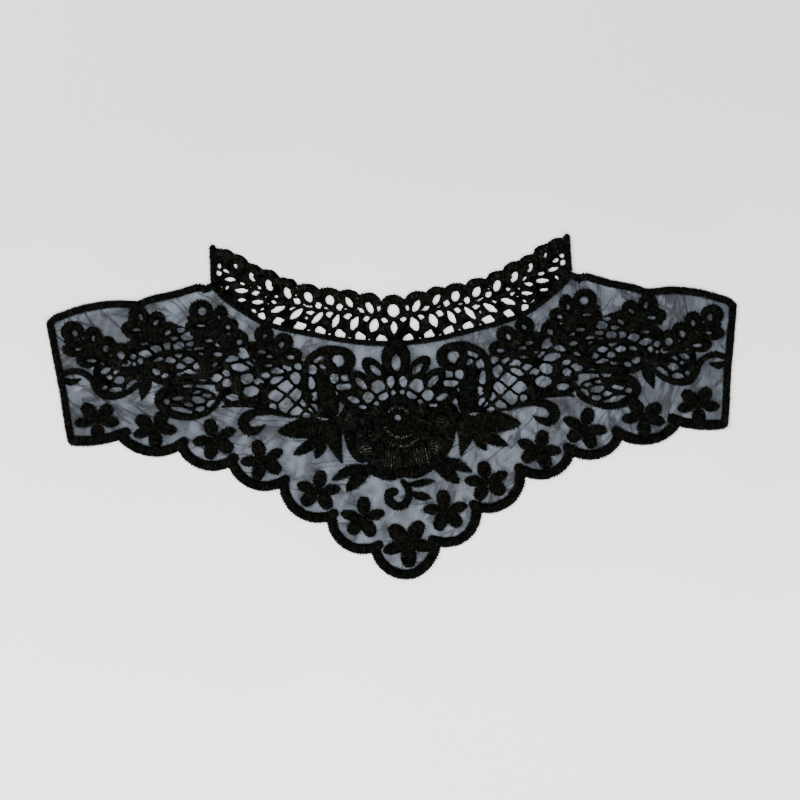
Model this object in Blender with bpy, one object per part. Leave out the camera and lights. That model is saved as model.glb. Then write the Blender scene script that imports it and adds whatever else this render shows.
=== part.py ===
"""A lace collar laid flat: an organza yoke with stitched edges, an open lace stand and raised embroidery.

The collar lies in the XY plane, neck towards +Y, underside on z = 0.  Its left half is drawn in
millimetres with x negative, and lay() puts a point of either half in its place.  Each stitched piece
is a footprint, a signed field that is negative inside, and plate() makes that footprint a solid with
sloping flanks and raised ridges.
"""
import math

import bmesh
import bpy
import numpy as np
from mathutils import geometry

MM = 0.001

# Places of the whole
COLLAR_LEAN = 0.02
NECK_PIVOT = 10.0
DROOP = 2.6
DROOP_FROM = 80.0
DROOP_RUN = 60.0
CENTRE_X = -2.0
CENTRE_Y = 2.7
HEM_LIFT = 2.2
END_PULL = 2.0

# Heights and gaps
SEAM_GAP = 0.35
GROUND_TOP = 1.0
MOTIF_BOTTOM = 1.3
MOTIF_TOP = 2.1
LACE_TOP = 1.5
EDGE_TOP = 2.0
CORD_TOP = 2.4
ROSE_TOP = 2.7
FLANK = 0.25

# Widths of the sewn edges
HEM_WIDTH = 6.0
WING_EDGE_WIDTH = 4.5
SIDE_EDGE_WIDTH = 4.6
END_BAR_WIDTH = 3.8
NECK_CORD_WIDTH = 3.0

# The grid that footprints are worked out on
GRID_STEP = 0.5
GRID_X = 197.0
GRID_Y = 101.0
FAR = 3.0
SMALLEST_GAP = 4.0
SMALLEST_GAP_AREA = 5.5

# Outer notches of the hem's left half and how far each scallop swells past its chord
HEM_NOTCHES = (
    # x, y, swell towards the next notch
    (-19.0, -75.0, 6.6),
    (-42.5, -57.0, 7.0),
    (-67.5, -38.0, 5.9),
    (-94.5, -25.5, 5.5),
    (-121.5, -15.8, 5.5),
    (-154.0, -8.7, 1.6),
    (-182.0, -10.4, 0.0),
)
CENTRE_SWELL = 15.0

WING_EDGE = (
    # x, y of the middle of the stitching, from the outer corner to the stand
    (-187.7, 56.6), (-184.6, 59.4), (-178.5, 61.5), (-168.4, 64.3), (-158.0, 65.8), (-150.2, 66.1),
    (-139.2, 65.5), (-131.9, 67.9), (-118.5, 70.4), (-106.5, 73.4), (-102.4, 72.4), (-100.2, 73.2),
)
SIDE_EDGE = (
    # x, y of the middle, from the outer corner down to the foot
    (-187.7, 55.4), (-185.6, 40.0), (-182.8, 20.0), (-180.7, 0.0), (-179.7, -7.4),
)
NECK_CORD = (
    # x, y of the middle, from the stand's end to the middle of the neck
    (-98.6, 74.6), (-93.6, 69.2), (-88.4, 64.6), (-83.0, 60.4), (-77.6, 56.6), (-72.0, 53.6),
    (-66.0, 51.2), (-58.0, 48.9), (-50.0, 47.0), (-42.0, 45.2), (-34.0, 43.4), (-26.0, 41.8),
    (-16.0, 40.3), (-6.0, 39.5), (0.0, 39.4),
)
END_BAR = ((-96.6, 93.6), (-97.2, 77.6))

STAND_DROPS = (
    # x, y of the upper drop-shaped gap, y of the scallop's crest, gap width, gap height and tilt
    (0.0, 57.5, 66.3, 6.8, 7.0, 0),
    (-12.7, 59.4, 67.8, 3.8, 7.0, 28),
    (-23.9, 62.8, 69.8, 3.2, 6.6, 28),
    (-34.4, 64.2, 71.4, 4.6, 6.0, 20),
    (-46.0, 66.2, 73.7, 4.4, 6.2, 28),
    (-57.3, 69.0, 77.2, 3.8, 6.6, 18),
    (-67.1, 73.5, 82.0, 3.8, 6.6, 20),
    (-75.9, 78.4, 85.6, 3.2, 5.4, 25),
    (-84.3, 84.0, 91.1, 2.0, 5.0, 28),
    (-91.6, 88.2, 94.4, 1.2, 4.2, 10),
)
CREST_WIDTH = 12.6
STAND_END = 96.6
STAND_LEAVES = (
    # x, y of the lower leaf-shaped gap, its length, width and tilt
    (0.0, 48.0, 7.4, 3.6, 90),
    (-11.1, 49.6, 8.2, 5.2, 68),
    (-21.5, 51.3, 8.4, 4.4, 63),
    (-31.7, 52.9, 8.4, 3.9, 62),
    (-41.6, 54.8, 9.0, 3.6, 47),
    (-53.0, 57.3, 9.4, 3.6, 35),
    (-63.1, 60.3, 9.0, 3.2, 20),
    (-73.5, 64.6, 7.2, 2.5, 1),
    (-82.3, 71.2, 7.8, 2.9, -3),
    (-88.4, 77.4, 6.2, 2.7, -10),
)
STAND_STEM = (
    # x, y of the stem the stand's leaves grow from
    (-92.0, 83.0), (-88.0, 80.0), (-80.0, 74.0), (-70.0, 69.5), (-60.0, 65.5), (-50.0, 62.5), (-42.0, 60.0),
    (-35.0, 58.5), (-20.0, 56.5), (0.0, 55.5),
)
STAND_CORNERS = (
    # x, y of the three-cornered gap, its width, height and tilt
    (-7.4, 42.6, 6.4, 4.4, 12),
    (-18.9, 44.2, 6.6, 4.8, 15),
    (-29.6, 46.0, 6.2, 4.6, 20),
    (-40.4, 48.1, 7.0, 4.4, 15),
    (-51.8, 51.3, 7.8, 3.8, 15),
    (-62.9, 54.6, 6.2, 3.2, 15),
    (-72.0, 57.6, 4.2, 2.4, -35),
    (-82.5, 66.1, 5.2, 2.2, -4),
    (-52.4, 64.4, 4.6, 3.4, -35),
    (-40.7, 61.7, 3.6, 4.4, 15),
    (-29.2, 60.3, 3.6, 4.4, 10),
    (-17.6, 58.1, 5.0, 2.3, -25),
    (-8.0, 59.0, 2.4, 4.8, 0),
    (-5.0, 52.3, 4.0, 2.6, -10),
    (-14.7, 53.5, 4.4, 3.2, 5),
    (-25.0, 55.0, 4.8, 3.6, 5),
    (-34.7, 56.5, 4.2, 3.4, 5),
    (-45.1, 57.8, 5.0, 2.5, -8),
    (-54.7, 60.4, 5.0, 2.0, 8),
    (-46.8, 61.8, 5.8, 1.8, -12),
    (-36.0, 60.0, 5.0, 1.6, -2),
    (-24.8, 58.9, 4.4, 1.6, -8),
    (-74.8, 69.4, 4.6, 2.5, 5),
    (-90.4, 82.2, 4.4, 1.9, -28),
    (-90.4, 72.6, 4.8, 1.7, 45),
)

EYELETS = (
    # x, y, width and height of the looped petal, then x, y, width, height and tilt of its hole
    (-175.8, 51.8, 12.6, 11.6, -174.4, 50.7, 2.4, 3.6, 20),
    (-164.7, 48.6, 9.8, 11.2, -164.7, 47.6, 1.8, 3.4, 0),
    (-157.0, 43.6, 9.8, 10.2, -158.0, 42.0, 2.6, 3.4, 0),
    (-150.2, 39.5, 10.4, 10.4, -150.0, 38.0, 3.8, 4.0, 0),
    (-175.7, 42.1, 12.4, 8.4, -173.3, 42.1, 3.6, 1.3, 0),
    (-168.6, 36.0, 11.8, 8.8, -166.3, 35.5, 5.0, 1.5, 0),
    (-139.3, 58.8, 11.0, 12.2, -138.2, 58.4, 1.8, 4.0, 20),
    (-129.5, 56.0, 9.8, 10.8, -130.0, 55.2, 3.4, 1.6, 40),
    (-143.2, 52.4, 11.8, 8.8, -140.8, 51.5, 4.2, 1.4, 0),
    (-123.0, 51.0, 8.6, 8.6, -123.7, 49.4, 3.6, 1.6, 35),
    (-139.3, 44.2, 11.2, 7.4, -137.0, 43.8, 4.5, 1.0, 0),
    (-105.0, 60.7, 13.2, 12.4, -104.4, 60.4, 4.3, 4.1, 0),
    (-94.4, 57.8, 8.2, 11.4, -95.8, 56.1, 1.4, 3.6, -15),
    (-107.2, 52.6, 13.8, 8.0, -105.4, 52.6, 5.0, 1.0, 0),
    (-90.0, 52.2, 10.2, 8.2, -90.7, 51.2, 2.2, 1.8, 0),
    (-85.2, 44.4, 10.6, 9.4, -85.0, 42.9, 3.0, 2.4, 30),
    (-104.2, 44.6, 12.2, 8.2, -101.6, 44.4, 4.6, 1.6, 0),
    (-71.3, 46.4, 10.8, 11.0, -70.6, 45.2, 2.0, 3.8, 20),
    (-60.8, 42.2, 10.8, 10.0, -62.2, 40.7, 1.9, 3.8, -35),
    (-56.2, 34.6, 10.4, 9.0, -57.7, 33.2, 4.8, 2.2, 20),
    (-74.7, 38.0, 9.4, 7.2, -73.2, 37.2, 4.2, 1.6, -5),
    (-71.6, 29.6, 10.4, 6.6, -69.9, 29.6, 4.4, 1.2, 0),
)

NET_BAR = 1.5
NET_GROWTH = 0.5
NET_OUTLINE = (
    # x, y round the net that fills the wing between the looped petals and the scrolls
    (-165.6, 30.0), (-162.0, 39.0), (-150.0, 42.0), (-143.0, 47.0), (-132.0, 51.0), (-119.0, 54.0),
    (-112.0, 50.5), (-98.0, 50.0), (-88.0, 46.0), (-79.0, 43.0), (-70.0, 42.0), (-60.0, 37.0),
    (-50.5, 31.0), (-50.5, 12.0), (-45.0, 4.0), (-38.0, 0.4), (-58.0, 0.4), (-66.0, 3.0),
    (-76.0, 6.5), (-94.0, 8.2), (-97.6, 13.0), (-100.0, 20.0), (-118.0, 20.6), (-127.0, 21.4),
    (-134.0, 23.6), (-140.0, 25.0), (-144.0, 19.0), (-152.0, 15.0), (-161.0, 16.5), (-165.0, 22.0),
)

NET_GAPS = (
    # x, y, width, height and tilt of each gap of the net that is wider than 4 mm
    (-147.0, 33.3, 4.8, 2.8, 15),
    (-158.6, 29.8, 5.2, 2.0, 20),
    (-151.8, 24.4, 5.4, 4.0, 15),
    (-153.6, 19.2, 7.2, 2.0, 5),
    (-144.6, 21.8, 9.4, 3.0, 30),
    (-120.7, 45.9, 5.4, 1.9, 0),
    (-116.2, 50.7, 4.4, 2.4, 0),
    (-113.0, 47.2, 7.4, 4.6, 10),
    (-124.4, 42.7, 3.8, 4.8, 20),
    (-118.5, 42.2, 6.2, 4.2, 0),
    (-111.7, 42.8, 4.6, 2.6, 10),
    (-130.6, 40.8, 6.0, 3.4, 0),
    (-136.7, 38.2, 6.8, 3.4, 0),
    (-129.6, 35.0, 5.2, 1.9, 5),
    (-123.3, 34.4, 6.0, 2.4, -5),
    (-113.3, 34.0, 6.0, 2.8, -10),
    (-117.8, 30.9, 5.2, 3.0, -15),
    (-113.0, 27.6, 7.6, 1.8, -5),
    (-131.0, 28.0, 4.8, 2.2, -30),
    (-120.5, 13.5, 6.2, 1.7, 5),
    (-114.4, 9.7, 4.8, 2.2, -20),
    (-118.4, 7.0, 11.5, 1.9, -14),
    (-109.0, 12.2, 7.0, 3.6, -5),
    (-108.3, 7.4, 5.6, 2.6, 10),
    (-101.7, 10.2, 6.4, 2.9, 35),
    (-97.9, 15.3, 5.6, 2.2, 40),
    (-110.0, 16.4, 4.4, 1.9, -10),
    (-98.4, 23.8, 5.8, 3.2, 10),
    (-93.3, 20.8, 4.8, 4.0, -15),
    (-97.1, 36.7, 4.4, 2.0, -5),
    (-89.4, 34.0, 8.0, 2.4, 10),
    (-83.7, 36.7, 8.0, 4.8, -35),
    (-85.0, 29.2, 9.2, 3.6, -12),
    (-81.7, 22.9, 7.2, 5.2, 10),
    (-75.8, 21.2, 5.4, 3.0, -15),
    (-79.9, 16.0, 8.2, 5.6, 0),
    (-89.6, 12.8, 8.0, 2.6, -8),
    (-71.5, 24.2, 4.6, 2.8, -10),
    (-64.8, 26.2, 6.4, 3.0, 0),
    (-65.4, 22.0, 7.0, 3.0, 20),
    (-60.0, 28.3, 4.4, 2.2, -10),
)
LATTICE_GAPS = (
    # x, y, width, height of each lozenge between the diagonal bars of the front net
    (-60.9, 17.8, 8.8, 6.4),
    (-66.4, 13.0, 7.4, 6.6),
    (-55.5, 13.2, 6.8, 6.4),
    (-61.2, 7.6, 8.2, 7.0),
    (-51.0, 9.8, 5.6, 5.6),
    (-56.1, 3.9, 6.4, 5.4),
    (-55.4, 22.4, 4.0, 7.6),
)
C_NET_GAPS = (
    # x, y, width, height and tilt of each gap in the net inside the C scroll
    (-42.2, 32.1, 8.0, 3.4, 30),
    (-45.7, 26.8, 3.8, 5.4, -5),
    (-46.8, 19.2, 2.6, 7.0, 3),
    (-34.2, 21.5, 4.0, 4.6, -25),
    (-28.4, 21.5, 4.0, 3.6, 0),
    (-29.7, 16.5, 7.5, 3.4, 5),
    (-46.5, 6.6, 3.4, 5.0, 20),
    (-45.4, 12.4, 2.6, 4.6, 0),
)
C_RING_HOLE = (-31.6, 31.0, 6.6, 6.8, 0)
CREST_GAPS = (
    # x, y, width, height and tilt of the crest's gaps, first those inside its side loops
    (-11.4, 25.0, 7.6, 2.6, -45),
    (-19.6, 18.1, 8.2, 2.8, -45),
    (-24.2, 9.4, 6.8, 2.5, -22),
    (-10.8, 16.0, 7.4, 6.8, 0),
    (-16.3, 10.4, 5.4, 5.6, 0),
    (-7.6, 10.9, 5.6, 3.0, 25),
    (-3.4, 18.5, 3.4, 5.6, -10),
)
CREST_HOLE = (0.0, 28.8, 4.4, 8.2, 0)

OUTER_SCROLL = (
    # x, y and width along the scroll that closes the outer spray, from the side edge
    (-182.6, 28.6, 3.0), (-176.0, 30.2, 3.4), (-170.8, 28.8, 3.4), (-166.6, 25.2, 3.6),
    (-164.4, 20.4, 4.0), (-161.6, 16.8, 4.0), (-156.6, 15.5, 3.6), (-150.5, 16.4, 3.4),
    (-145.0, 19.0, 3.0), (-140.6, 23.0, 2.6),
)
EDGE_LEAF = ((-182.4, 25.6, 2.6), (-177.6, 24.2, 3.8), (-172.8, 25.6, 1.2))
UPPER_OVAL = (
    # x, y and width along the upper oval scroll
    (-137.0, 27.0, 2.6), (-136.4, 32.0, 2.8), (-132.6, 36.2, 2.8), (-126.6, 38.6, 2.6),
    (-118.8, 39.0, 2.4), (-111.0, 37.6, 2.4), (-104.8, 34.0, 2.6), (-101.6, 29.0, 2.4),
)
LOWER_OVAL = (
    # x, y and width along the lower oval scroll
    (-96.0, 16.6, 2.2), (-98.8, 10.4, 2.8), (-104.0, 5.6, 3.2), (-111.4, 3.0, 3.2),
    (-119.4, 3.3, 3.6), (-126.2, 6.2, 4.4), (-130.4, 11.2, 5.0), (-129.4, 16.2, 4.4),
    (-124.6, 19.2, 3.8), (-118.0, 19.0, 3.0),
)
LOWER_OVAL_NET = (-113.8, 11.2, 33.0, 15.6, 0)
DROP_LEAF = ((-136.3, 28.4, 2.0), (-137.2, 22.4, 6.8), (-138.6, 17.4, 5.0), (-140.0, 12.9, 0.8))
STEM_LEAF = ((-96.2, 7.9, 1.2), (-90.0, 9.4, 3.2), (-83.0, 9.2, 3.6), (-76.0, 7.6, 2.6))
HOOK_SCROLL = (
    # x, y and width along the hooked scroll, from its thin root to the tip inside the curl
    (-59.4, 0.9, 1.0), (-64.6, 2.9, 2.2), (-70.0, 4.1, 3.0), (-75.4, 4.5, 3.8), (-80.4, 3.6, 4.8),
    (-84.4, 1.0, 5.8), (-84.9, -3.0, 6.0), (-81.8, -5.9, 5.4), (-78.0, -5.4, 4.0), (-75.2, -4.0, 2.2),
    (-73.2, -2.5, 0.8),
)
C_SCROLL = (
    # x, y and width along the C scroll, from its foot up to the ring that ends it
    (-46.4, 8.2, 2.4), (-49.4, 13.0, 3.2), (-50.4, 20.0, 3.6), (-50.0, 26.6, 3.6), (-47.8, 31.8, 3.8),
    (-43.2, 35.4, 4.0), (-37.2, 37.2, 4.6), (-31.4, 36.6, 5.0),
)
C_RING = (-30.7, 31.0, 17.6, 15.4)
C_NET_OUTLINE = (
    # x, y round the net between the C scroll, the crest and the standing leaf
    (-48.6, 6.0), (-50.4, 14.0), (-50.0, 26.0), (-46.0, 33.0), (-38.0, 35.0), (-30.0, 25.6),
    (-24.0, 24.6), (-22.0, 15.0), (-31.0, 12.0), (-33.0, 2.0), (-36.0, -1.0), (-44.0, 1.0),
)
STANDING_LEAF = ((-40.2, 26.2, 1.6), (-38.8, 12.0, 9.6), (-35.6, 0.2, 1.4))
CREST_LOOPS = (
    # x, y, length, width and tilt of the crest's side loops
    (-12.8, 26.2, 14.6, 9.0, -45),
    (-20.4, 19.4, 14.6, 9.4, -42),
    (-25.8, 10.0, 13.4, 9.6, -18),
)
CREST_CENTRE = (0.0, 31.4, 16.0, 17.4)
CREST_ARC = ((-33.0, 1.0), (-27.4, 9.0), (-20.6, 18.0), (-12.4, 25.6), (0.0, 29.0))

LEAVES = (
    # group, then x, y, width for the root, the belly and the tip of each leaf
    ("side", (-37.6, -3.8, 5.0), (-52.0, -5.2, 11.4), (-65.9, -6.7, 0.8)),
    ("side", (-39.4, -7.6, 5.4), (-49.0, -14.2, 6.8), (-58.3, -19.4, 0.8)),
    ("side", (-40.0, -8.8, 4.2), (-43.2, -16.2, 5.4), (-46.7, -21.6, 0.8)),
    ("foot", (-17.4, -27.6, 3.6), (-28.4, -29.4, 6.2), (-38.0, -34.0, 0.8)),
    ("foot", (-16.6, -29.0, 4.6), (-24.4, -34.2, 7.4), (-30.6, -40.0, 0.8)),
)
ROSE_HEART = (-0.3, -4.0, 13.8)
ROSE_HOLE = (-0.7, -1.3, 3.8, 3.8)
ROSE_LOBE = (
    # x, y and width down the side petal
    (-23.6, -0.8, 17.0), (-24.6, -9.0, 22.0), (-23.8, -17.4, 16.6), (-23.0, -20.8, 10.0),
)
ROSE_SKIRT = ((-8.4, -19.0, 15.0), (-7.4, -27.6, 15.6), (7.4, -26.6, 15.6), (8.4, -19.0, 15.0))
SKIRT_TOP = ((-3.0, -20.0, 13.0), (3.0, -20.0, 13.0))
SPIRAL = (
    # x, y and width along the spiral below the rose, as it lies in the picture and not mirrored
    (0.2, -36.2, 3.0), (2.8, -40.0, 3.8), (3.0, -44.6, 4.2), (0.2, -48.8, 4.8), (-4.6, -49.2, 4.6),
    (-7.8, -46.0, 5.2), (-7.2, -42.2, 5.0), (-4.4, -41.6, 4.4),
)
SPIRAL_LEAVES = (
    ((2.4, -37.8, 1.6), (9.8, -38.4, 4.2), (17.4, -38.4, 0.8)),
    ((3.6, -42.6, 1.6), (9.6, -45.4, 4.8), (14.9, -47.6, 0.8)),
)

FLOWERS = (
    # x, y, size and the turns of the petals in the left half, first the two pointed ones
    (-165.0, 2.8, 1.0, -8, 186, 43, 127, 270),
    (-133.6, -2.4, 1.0, -8, 198, 55, 148, 270),
    (-101.1, -9.5, 1.0, 24, 186, 106, 249, -36),
    (-75.5, -21.9, 1.0, 24, 183, 107, 247, -36),
    (-46.1, -39.8, 1.0, 4, 160, 80, 216, -59),
    (-22.6, -55.1, 1.0, 11, 167, 83, 227, -64),
)
CENTRE_FLOWER = (1.2, -69.8, 1.16, -19, 198, 52, 133, 270)
POINTED_PETAL = (11.6, 6.0, 1.2)
ROUND_PETAL = (9.8, 7.6, 3.2)
PETAL_FULLNESS = 0.6

# Colours and finishes of the solids
THREAD_COLOUR = (0.012, 0.012, 0.010)
ORGANZA_COLOUR = (0.20, 0.22, 0.25)


def clear_scene():
    """Starts from an empty scene."""
    for thing in list(bpy.data.objects):
        bpy.data.objects.remove(thing, do_unlink=True)


def ease(value):
    """A smooth step from 0 to 1."""
    value = np.clip(value, 0.0, 1.0)
    return value * value * (3.0 - 2.0 * value)


def lay(points):
    """Moves drawn points to where they lie: the right wing hangs lower and its hem's middle is lifted."""
    points = np.array(points, float)
    x = points[:, 0]
    y = points[:, 1]
    right = x > 0.0
    lift = HEM_LIFT * ease((-y - 5.0) / 30.0) * (1.0 - ease((x - 60.0) / 35.0)) * ease(x / 20.0)
    drop = DROOP * ease((x - DROOP_FROM) / DROOP_RUN)
    pull = END_PULL * ease((x - 135.0) / 50.0)
    new_x = x - np.where(right, pull, 0.0) - COLLAR_LEAN * (y - NECK_PIVOT) - CENTRE_X
    new_y = y + np.where(right, lift - drop, 0.0) - CENTRE_Y
    return np.stack([new_x, new_y], axis=1)


def smooth(points, step=1.2):
    """Samples a smooth curve through the rows; every column, such as a width, is carried along."""
    rows = np.array(points, float)
    padded = np.vstack([2 * rows[0] - rows[1], rows, 2 * rows[-1] - rows[-2]])
    out = []
    for a, b, c, d in zip(padded[:-3], padded[1:-2], padded[2:-1], padded[3:]):
        count = max(2, int(math.ceil(np.linalg.norm((c - b)[:2]) / step)))
        bend, twist = 2 * a - 5 * b + 4 * c - d, 3 * b - a - 3 * c + d
        for t in np.arange(count) / count:
            out.append(0.5 * (2 * b + (c - a) * t + bend * t**2 + twist * t**3))
    out.append(rows[-1])
    return np.array(out)


def mirrored(rows, side):
    """Rows of the left half, or their mirror image for the right half."""
    rows = np.array(rows, float)
    rows[:, 0] *= side
    return rows


grid_x = np.arange(-GRID_X, GRID_X + GRID_STEP, GRID_STEP)
grid_y = np.arange(-GRID_Y, GRID_Y + GRID_STEP, GRID_STEP)


def blank():
    """A footprint with nothing in it."""
    return np.full((len(grid_x), len(grid_y)), FAR)


def window(points, reach):
    """The part of the grid within reach of the points, as two slices and the coordinates there."""
    low = points.min(axis=0) - reach
    high = points.max(axis=0) + reach
    i = slice(max(0, np.searchsorted(grid_x, low[0])), np.searchsorted(grid_x, high[0]) + 1)
    j = slice(max(0, np.searchsorted(grid_y, low[1])), np.searchsorted(grid_y, high[1]) + 1)
    x, y = np.meshgrid(grid_x[i], grid_y[j], indexing="ij")
    return (i, j), x, y


def stroke(rows, side=1, width=None, step=1.2):
    """The footprint of a line of satin stitch; rows hold x, y and, where no width is given, the width."""
    rows = mirrored(rows, side)
    if width is not None:
        rows = np.hstack([rows[:, :2], np.full((len(rows), 1), float(width))])
    path = smooth(rows, step)
    spots = lay(path[:, :2])
    half = np.maximum(path[:, 2], 0.4) / 2
    field = blank()
    for a, b, r, s in zip(spots[:-1], spots[1:], half[:-1], half[1:]):
        part, x, y = window(np.array([a, b]), max(r, s) + FAR)
        run = b - a
        t = np.clip(((x - a[0]) * run[0] + (y - a[1]) * run[1]) / max(run @ run, 1e-9), 0.0, 1.0)
        gap = np.hypot(x - a[0] - t * run[0], y - a[1] - t * run[1]) - (r + (s - r) * t)
        field[part] = np.minimum(field[part], gap)
    return field


def lens(leaf, side=1, fullness=0.75):
    """The footprint of a leaf, given as its root, belly and tip; a low fullness makes it rounder."""
    rows = np.array(leaf, float)
    path = smooth(rows[:, :2], 1.0)
    along = np.linspace(0.0, 1.0, len(path))
    root, belly, tip = rows[:, 2]
    swell = belly * np.sin(np.pi * along**0.85) ** fullness
    width = np.maximum(swell, root + (tip - root) * along)
    return stroke(np.hstack([path, width[:, None]]), side, step=2.0)


def oval(row, side=1, power=2.0):
    """The footprint of an oval, x, y, width, height and tilt; a power near 1 makes it a lozenge."""
    x, y, width, height, tilt = row if len(row) == 5 else (*row, 0.0)
    centre = lay([(side * x, y)])[0]
    turn = math.radians(side * tilt)
    part, gx, gy = window(centre[None, :], max(width, height) / 2 + FAR)
    u = (gx - centre[0]) * math.cos(turn) + (gy - centre[1]) * math.sin(turn)
    v = (gy - centre[1]) * math.cos(turn) - (gx - centre[0]) * math.sin(turn)
    a, b = width / 2, height / 2
    reach = (np.abs(u / a) ** power + np.abs(v / b) ** power) ** (1 / power)
    slope = np.maximum(np.hypot(u / a**2, v / b**2), 1e-6) / np.maximum(np.hypot(u / a, v / b), 1e-6)
    field = blank()
    field[part] = np.minimum((reach - 1.0) / slope, FAR)
    return field


def area(outline, side=None):
    """The footprint inside a closed outline: minus FAR inside and FAR outside, with no slope between."""
    ring = lay(outline if side is None else mirrored(outline, side))
    x, y = np.meshgrid(grid_x, grid_y, indexing="ij")
    inside = np.zeros(x.shape, bool)
    for a, b in zip(ring, np.roll(ring, -1, axis=0)):
        crosses = (a[1] > y) != (b[1] > y)
        with np.errstate(divide="ignore", invalid="ignore"):
            at = a[0] + (y - a[1]) * (b[0] - a[0]) / (b[1] - a[1])
        inside ^= crosses & (x < at)
    return np.where(inside, -FAR, FAR)


def region(outline, side):
    """The footprint inside a closed outline, with a sloped edge."""
    closed = np.vstack([outline, outline[:1]])
    edge = stroke(closed, side, width=0.4, step=3.0) + 0.2
    return np.where(area(outline, side) < 0, -np.maximum(edge, 0.0), edge)


def join(*fields):
    """The footprint that covers any of these."""
    return np.minimum.reduce(fields)


def cut(field, *others, gap=0.0):
    """The footprint less the others, with a gap left round them."""
    for other in others:
        field = np.maximum(field, gap - other)
    return field


def net(field, gaps):
    """Opens each gap of a net wider, until bars of thread are left between it and its neighbours."""
    nearest = np.partition(np.stack(gaps), 1, axis=0)[:2]
    opening = np.maximum(nearest[0] - NET_GROWTH, (nearest[0] - nearest[1] + NET_BAR) / 2)
    return np.maximum(field, -np.maximum(opening, field + NET_BAR))


def crossings(field):
    """The zero line of a footprint: each grid edge it crosses is mapped to the next, inside on the left."""
    inside = field < 0.0
    count = inside[:-1, :-1].astype(int) + inside[1:, :-1] + inside[1:, 1:] + inside[:-1, 1:]
    follow = {}
    for i, j in np.argwhere((count > 0) & (count < 4)):
        corners = ((i, j), (i + 1, j), (i + 1, j + 1), (i, j + 1))
        edges = (("h", i, j), ("v", i + 1, j), ("h", i, j + 1), ("v", i, j))
        kinds = []
        for k in range(4):
            here, there = inside[corners[k]], inside[corners[(k + 1) % 4]]
            if here != there:
                kinds.append((edges[k], "out" if here else "in"))
        order = -1
        if len(kinds) == 4 and field[i : i + 2, j : j + 2].mean() < 0.0:
            order = 1
        for n, (edge, kind) in enumerate(kinds):
            if kind == "out":
                follow[edge] = kinds[(n + order) % len(kinds)][0]
    return follow


def edge_point(field, edge):
    """Where the zero line crosses a grid edge."""
    kind, i, j = edge
    k, m = (i + 1, j) if kind == "h" else (i, j + 1)
    a, b = field[i, j], field[k, m]
    t = min(max(a / (a - b), 0.02), 0.98)
    return (grid_x[i] + (grid_x[k] - grid_x[i]) * t, grid_y[j] + (grid_y[m] - grid_y[j]) * t)


def thin_out(points, tolerance):
    """Keeps only the points that a closed outline needs."""
    far = int(np.argmax(np.linalg.norm(points - points[0], axis=1)))
    keep = {0, far}
    spans = [(0, far), (far, len(points))]
    ring = np.vstack([points, points[:1]])
    while spans:
        a, b = spans.pop()
        if b - a < 2:
            continue
        run = ring[b] - ring[a]
        off = np.abs(np.cross(run, ring[a + 1 : b] - ring[a])) / max(np.linalg.norm(run), 1e-9)
        worst = int(np.argmax(off))
        if off[worst] > tolerance:
            middle = a + 1 + worst
            keep.add(middle)
            spans += [(a, middle), (middle, b)]
    return points[sorted(keep)]


def outlines(field, tolerance):
    """The outer outline of the largest body and its gaps that are over 4 mm, thinned out."""
    follow = crossings(field)
    loops = []
    while follow:
        start, at = follow.popitem()
        chain = [start]
        while at != start:
            chain.append(at)
            at = follow.pop(at)
        points = np.array([edge_point(field, edge) for edge in chain])
        nxt = np.roll(points, -1, axis=0)
        loops.append((0.5 * np.sum(points[:, 0] * nxt[:, 1] - nxt[:, 0] * points[:, 1]), points))
    outer_area, outer = max(loops, key=lambda loop: loop[0])
    low, high = outer.min(axis=0), outer.max(axis=0)
    kept = [thin_out(outer, tolerance)]
    for size, points in loops:
        inside = (points > low).all() and (points < high).all()
        if size < -SMALLEST_GAP_AREA and inside and holds(outer, points[0]):
            if np.ptp(points, axis=0).max() >= SMALLEST_GAP or -size > 2 * SMALLEST_GAP_AREA:
                kept.append(thin_out(points, tolerance))
    return [loop for loop in kept if len(loop) > 2]


def holds(ring, point):
    """Whether a point is inside a ring."""
    nxt = np.roll(ring, -1, axis=0)
    crosses = (ring[:, 1] > point[1]) != (nxt[:, 1] > point[1])
    run = np.where(nxt[:, 1] == ring[:, 1], 1.0, nxt[:, 1] - ring[:, 1])
    at = ring[:, 0] + (point[1] - ring[:, 1]) * (nxt[:, 0] - ring[:, 0]) / run
    return bool(np.sum(crosses & (point[0] < at)) % 2)


def read(field, points):
    """The footprint's value and its slope at some points."""
    u = (points[:, 0] - grid_x[0]) / GRID_STEP
    v = (points[:, 1] - grid_y[0]) / GRID_STEP
    i = np.clip(u.astype(int), 1, len(grid_x) - 3)
    j = np.clip(v.astype(int), 1, len(grid_y) - 3)
    s, t = u - i, v - j

    def at(a, b):
        return field[i + a, j + b]

    value = (at(0, 0) * (1 - s) + at(1, 0) * s) * (1 - t) + (at(0, 1) * (1 - s) + at(1, 1) * s) * t
    rise_x = at(1, 0) + at(1, 1) - at(0, 0) - at(0, 1)
    rise_y = at(0, 1) + at(1, 1) - at(0, 0) - at(1, 0)
    slope = np.stack([rise_x, rise_y], axis=1)
    return value, slope / np.maximum(np.linalg.norm(slope, axis=1, keepdims=True), 1e-9)


def fill(loops, extra):
    """Triangles between closed loops, through the extra points inside them."""
    coords = [tuple(p) for loop in loops for p in loop] + [tuple(p) for p in extra]
    edges, start = [], 0
    for loop in loops:
        edges += [(start + k, start + (k + 1) % len(loop)) for k in range(len(loop))]
        start += len(loop)
    found, _, faces, origins, _, _ = geometry.delaunay_2d_cdt(coords, edges, [], 0, 1e-6)
    if len(found) != len(coords) or any(len(origin) != 1 for origin in origins):
        return None
    triangles = []
    for face in faces:
        face = [origins[k][0] for k in face]
        middle = np.mean([coords[k] for k in face], axis=0)
        if sum(holds(loop, middle) for loop in loops) == 1:
            triangles.append(face)
    return triangles


thread = bpy.data.materials.new("black_satin_thread")
organza = bpy.data.materials.new("black_organza")


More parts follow.
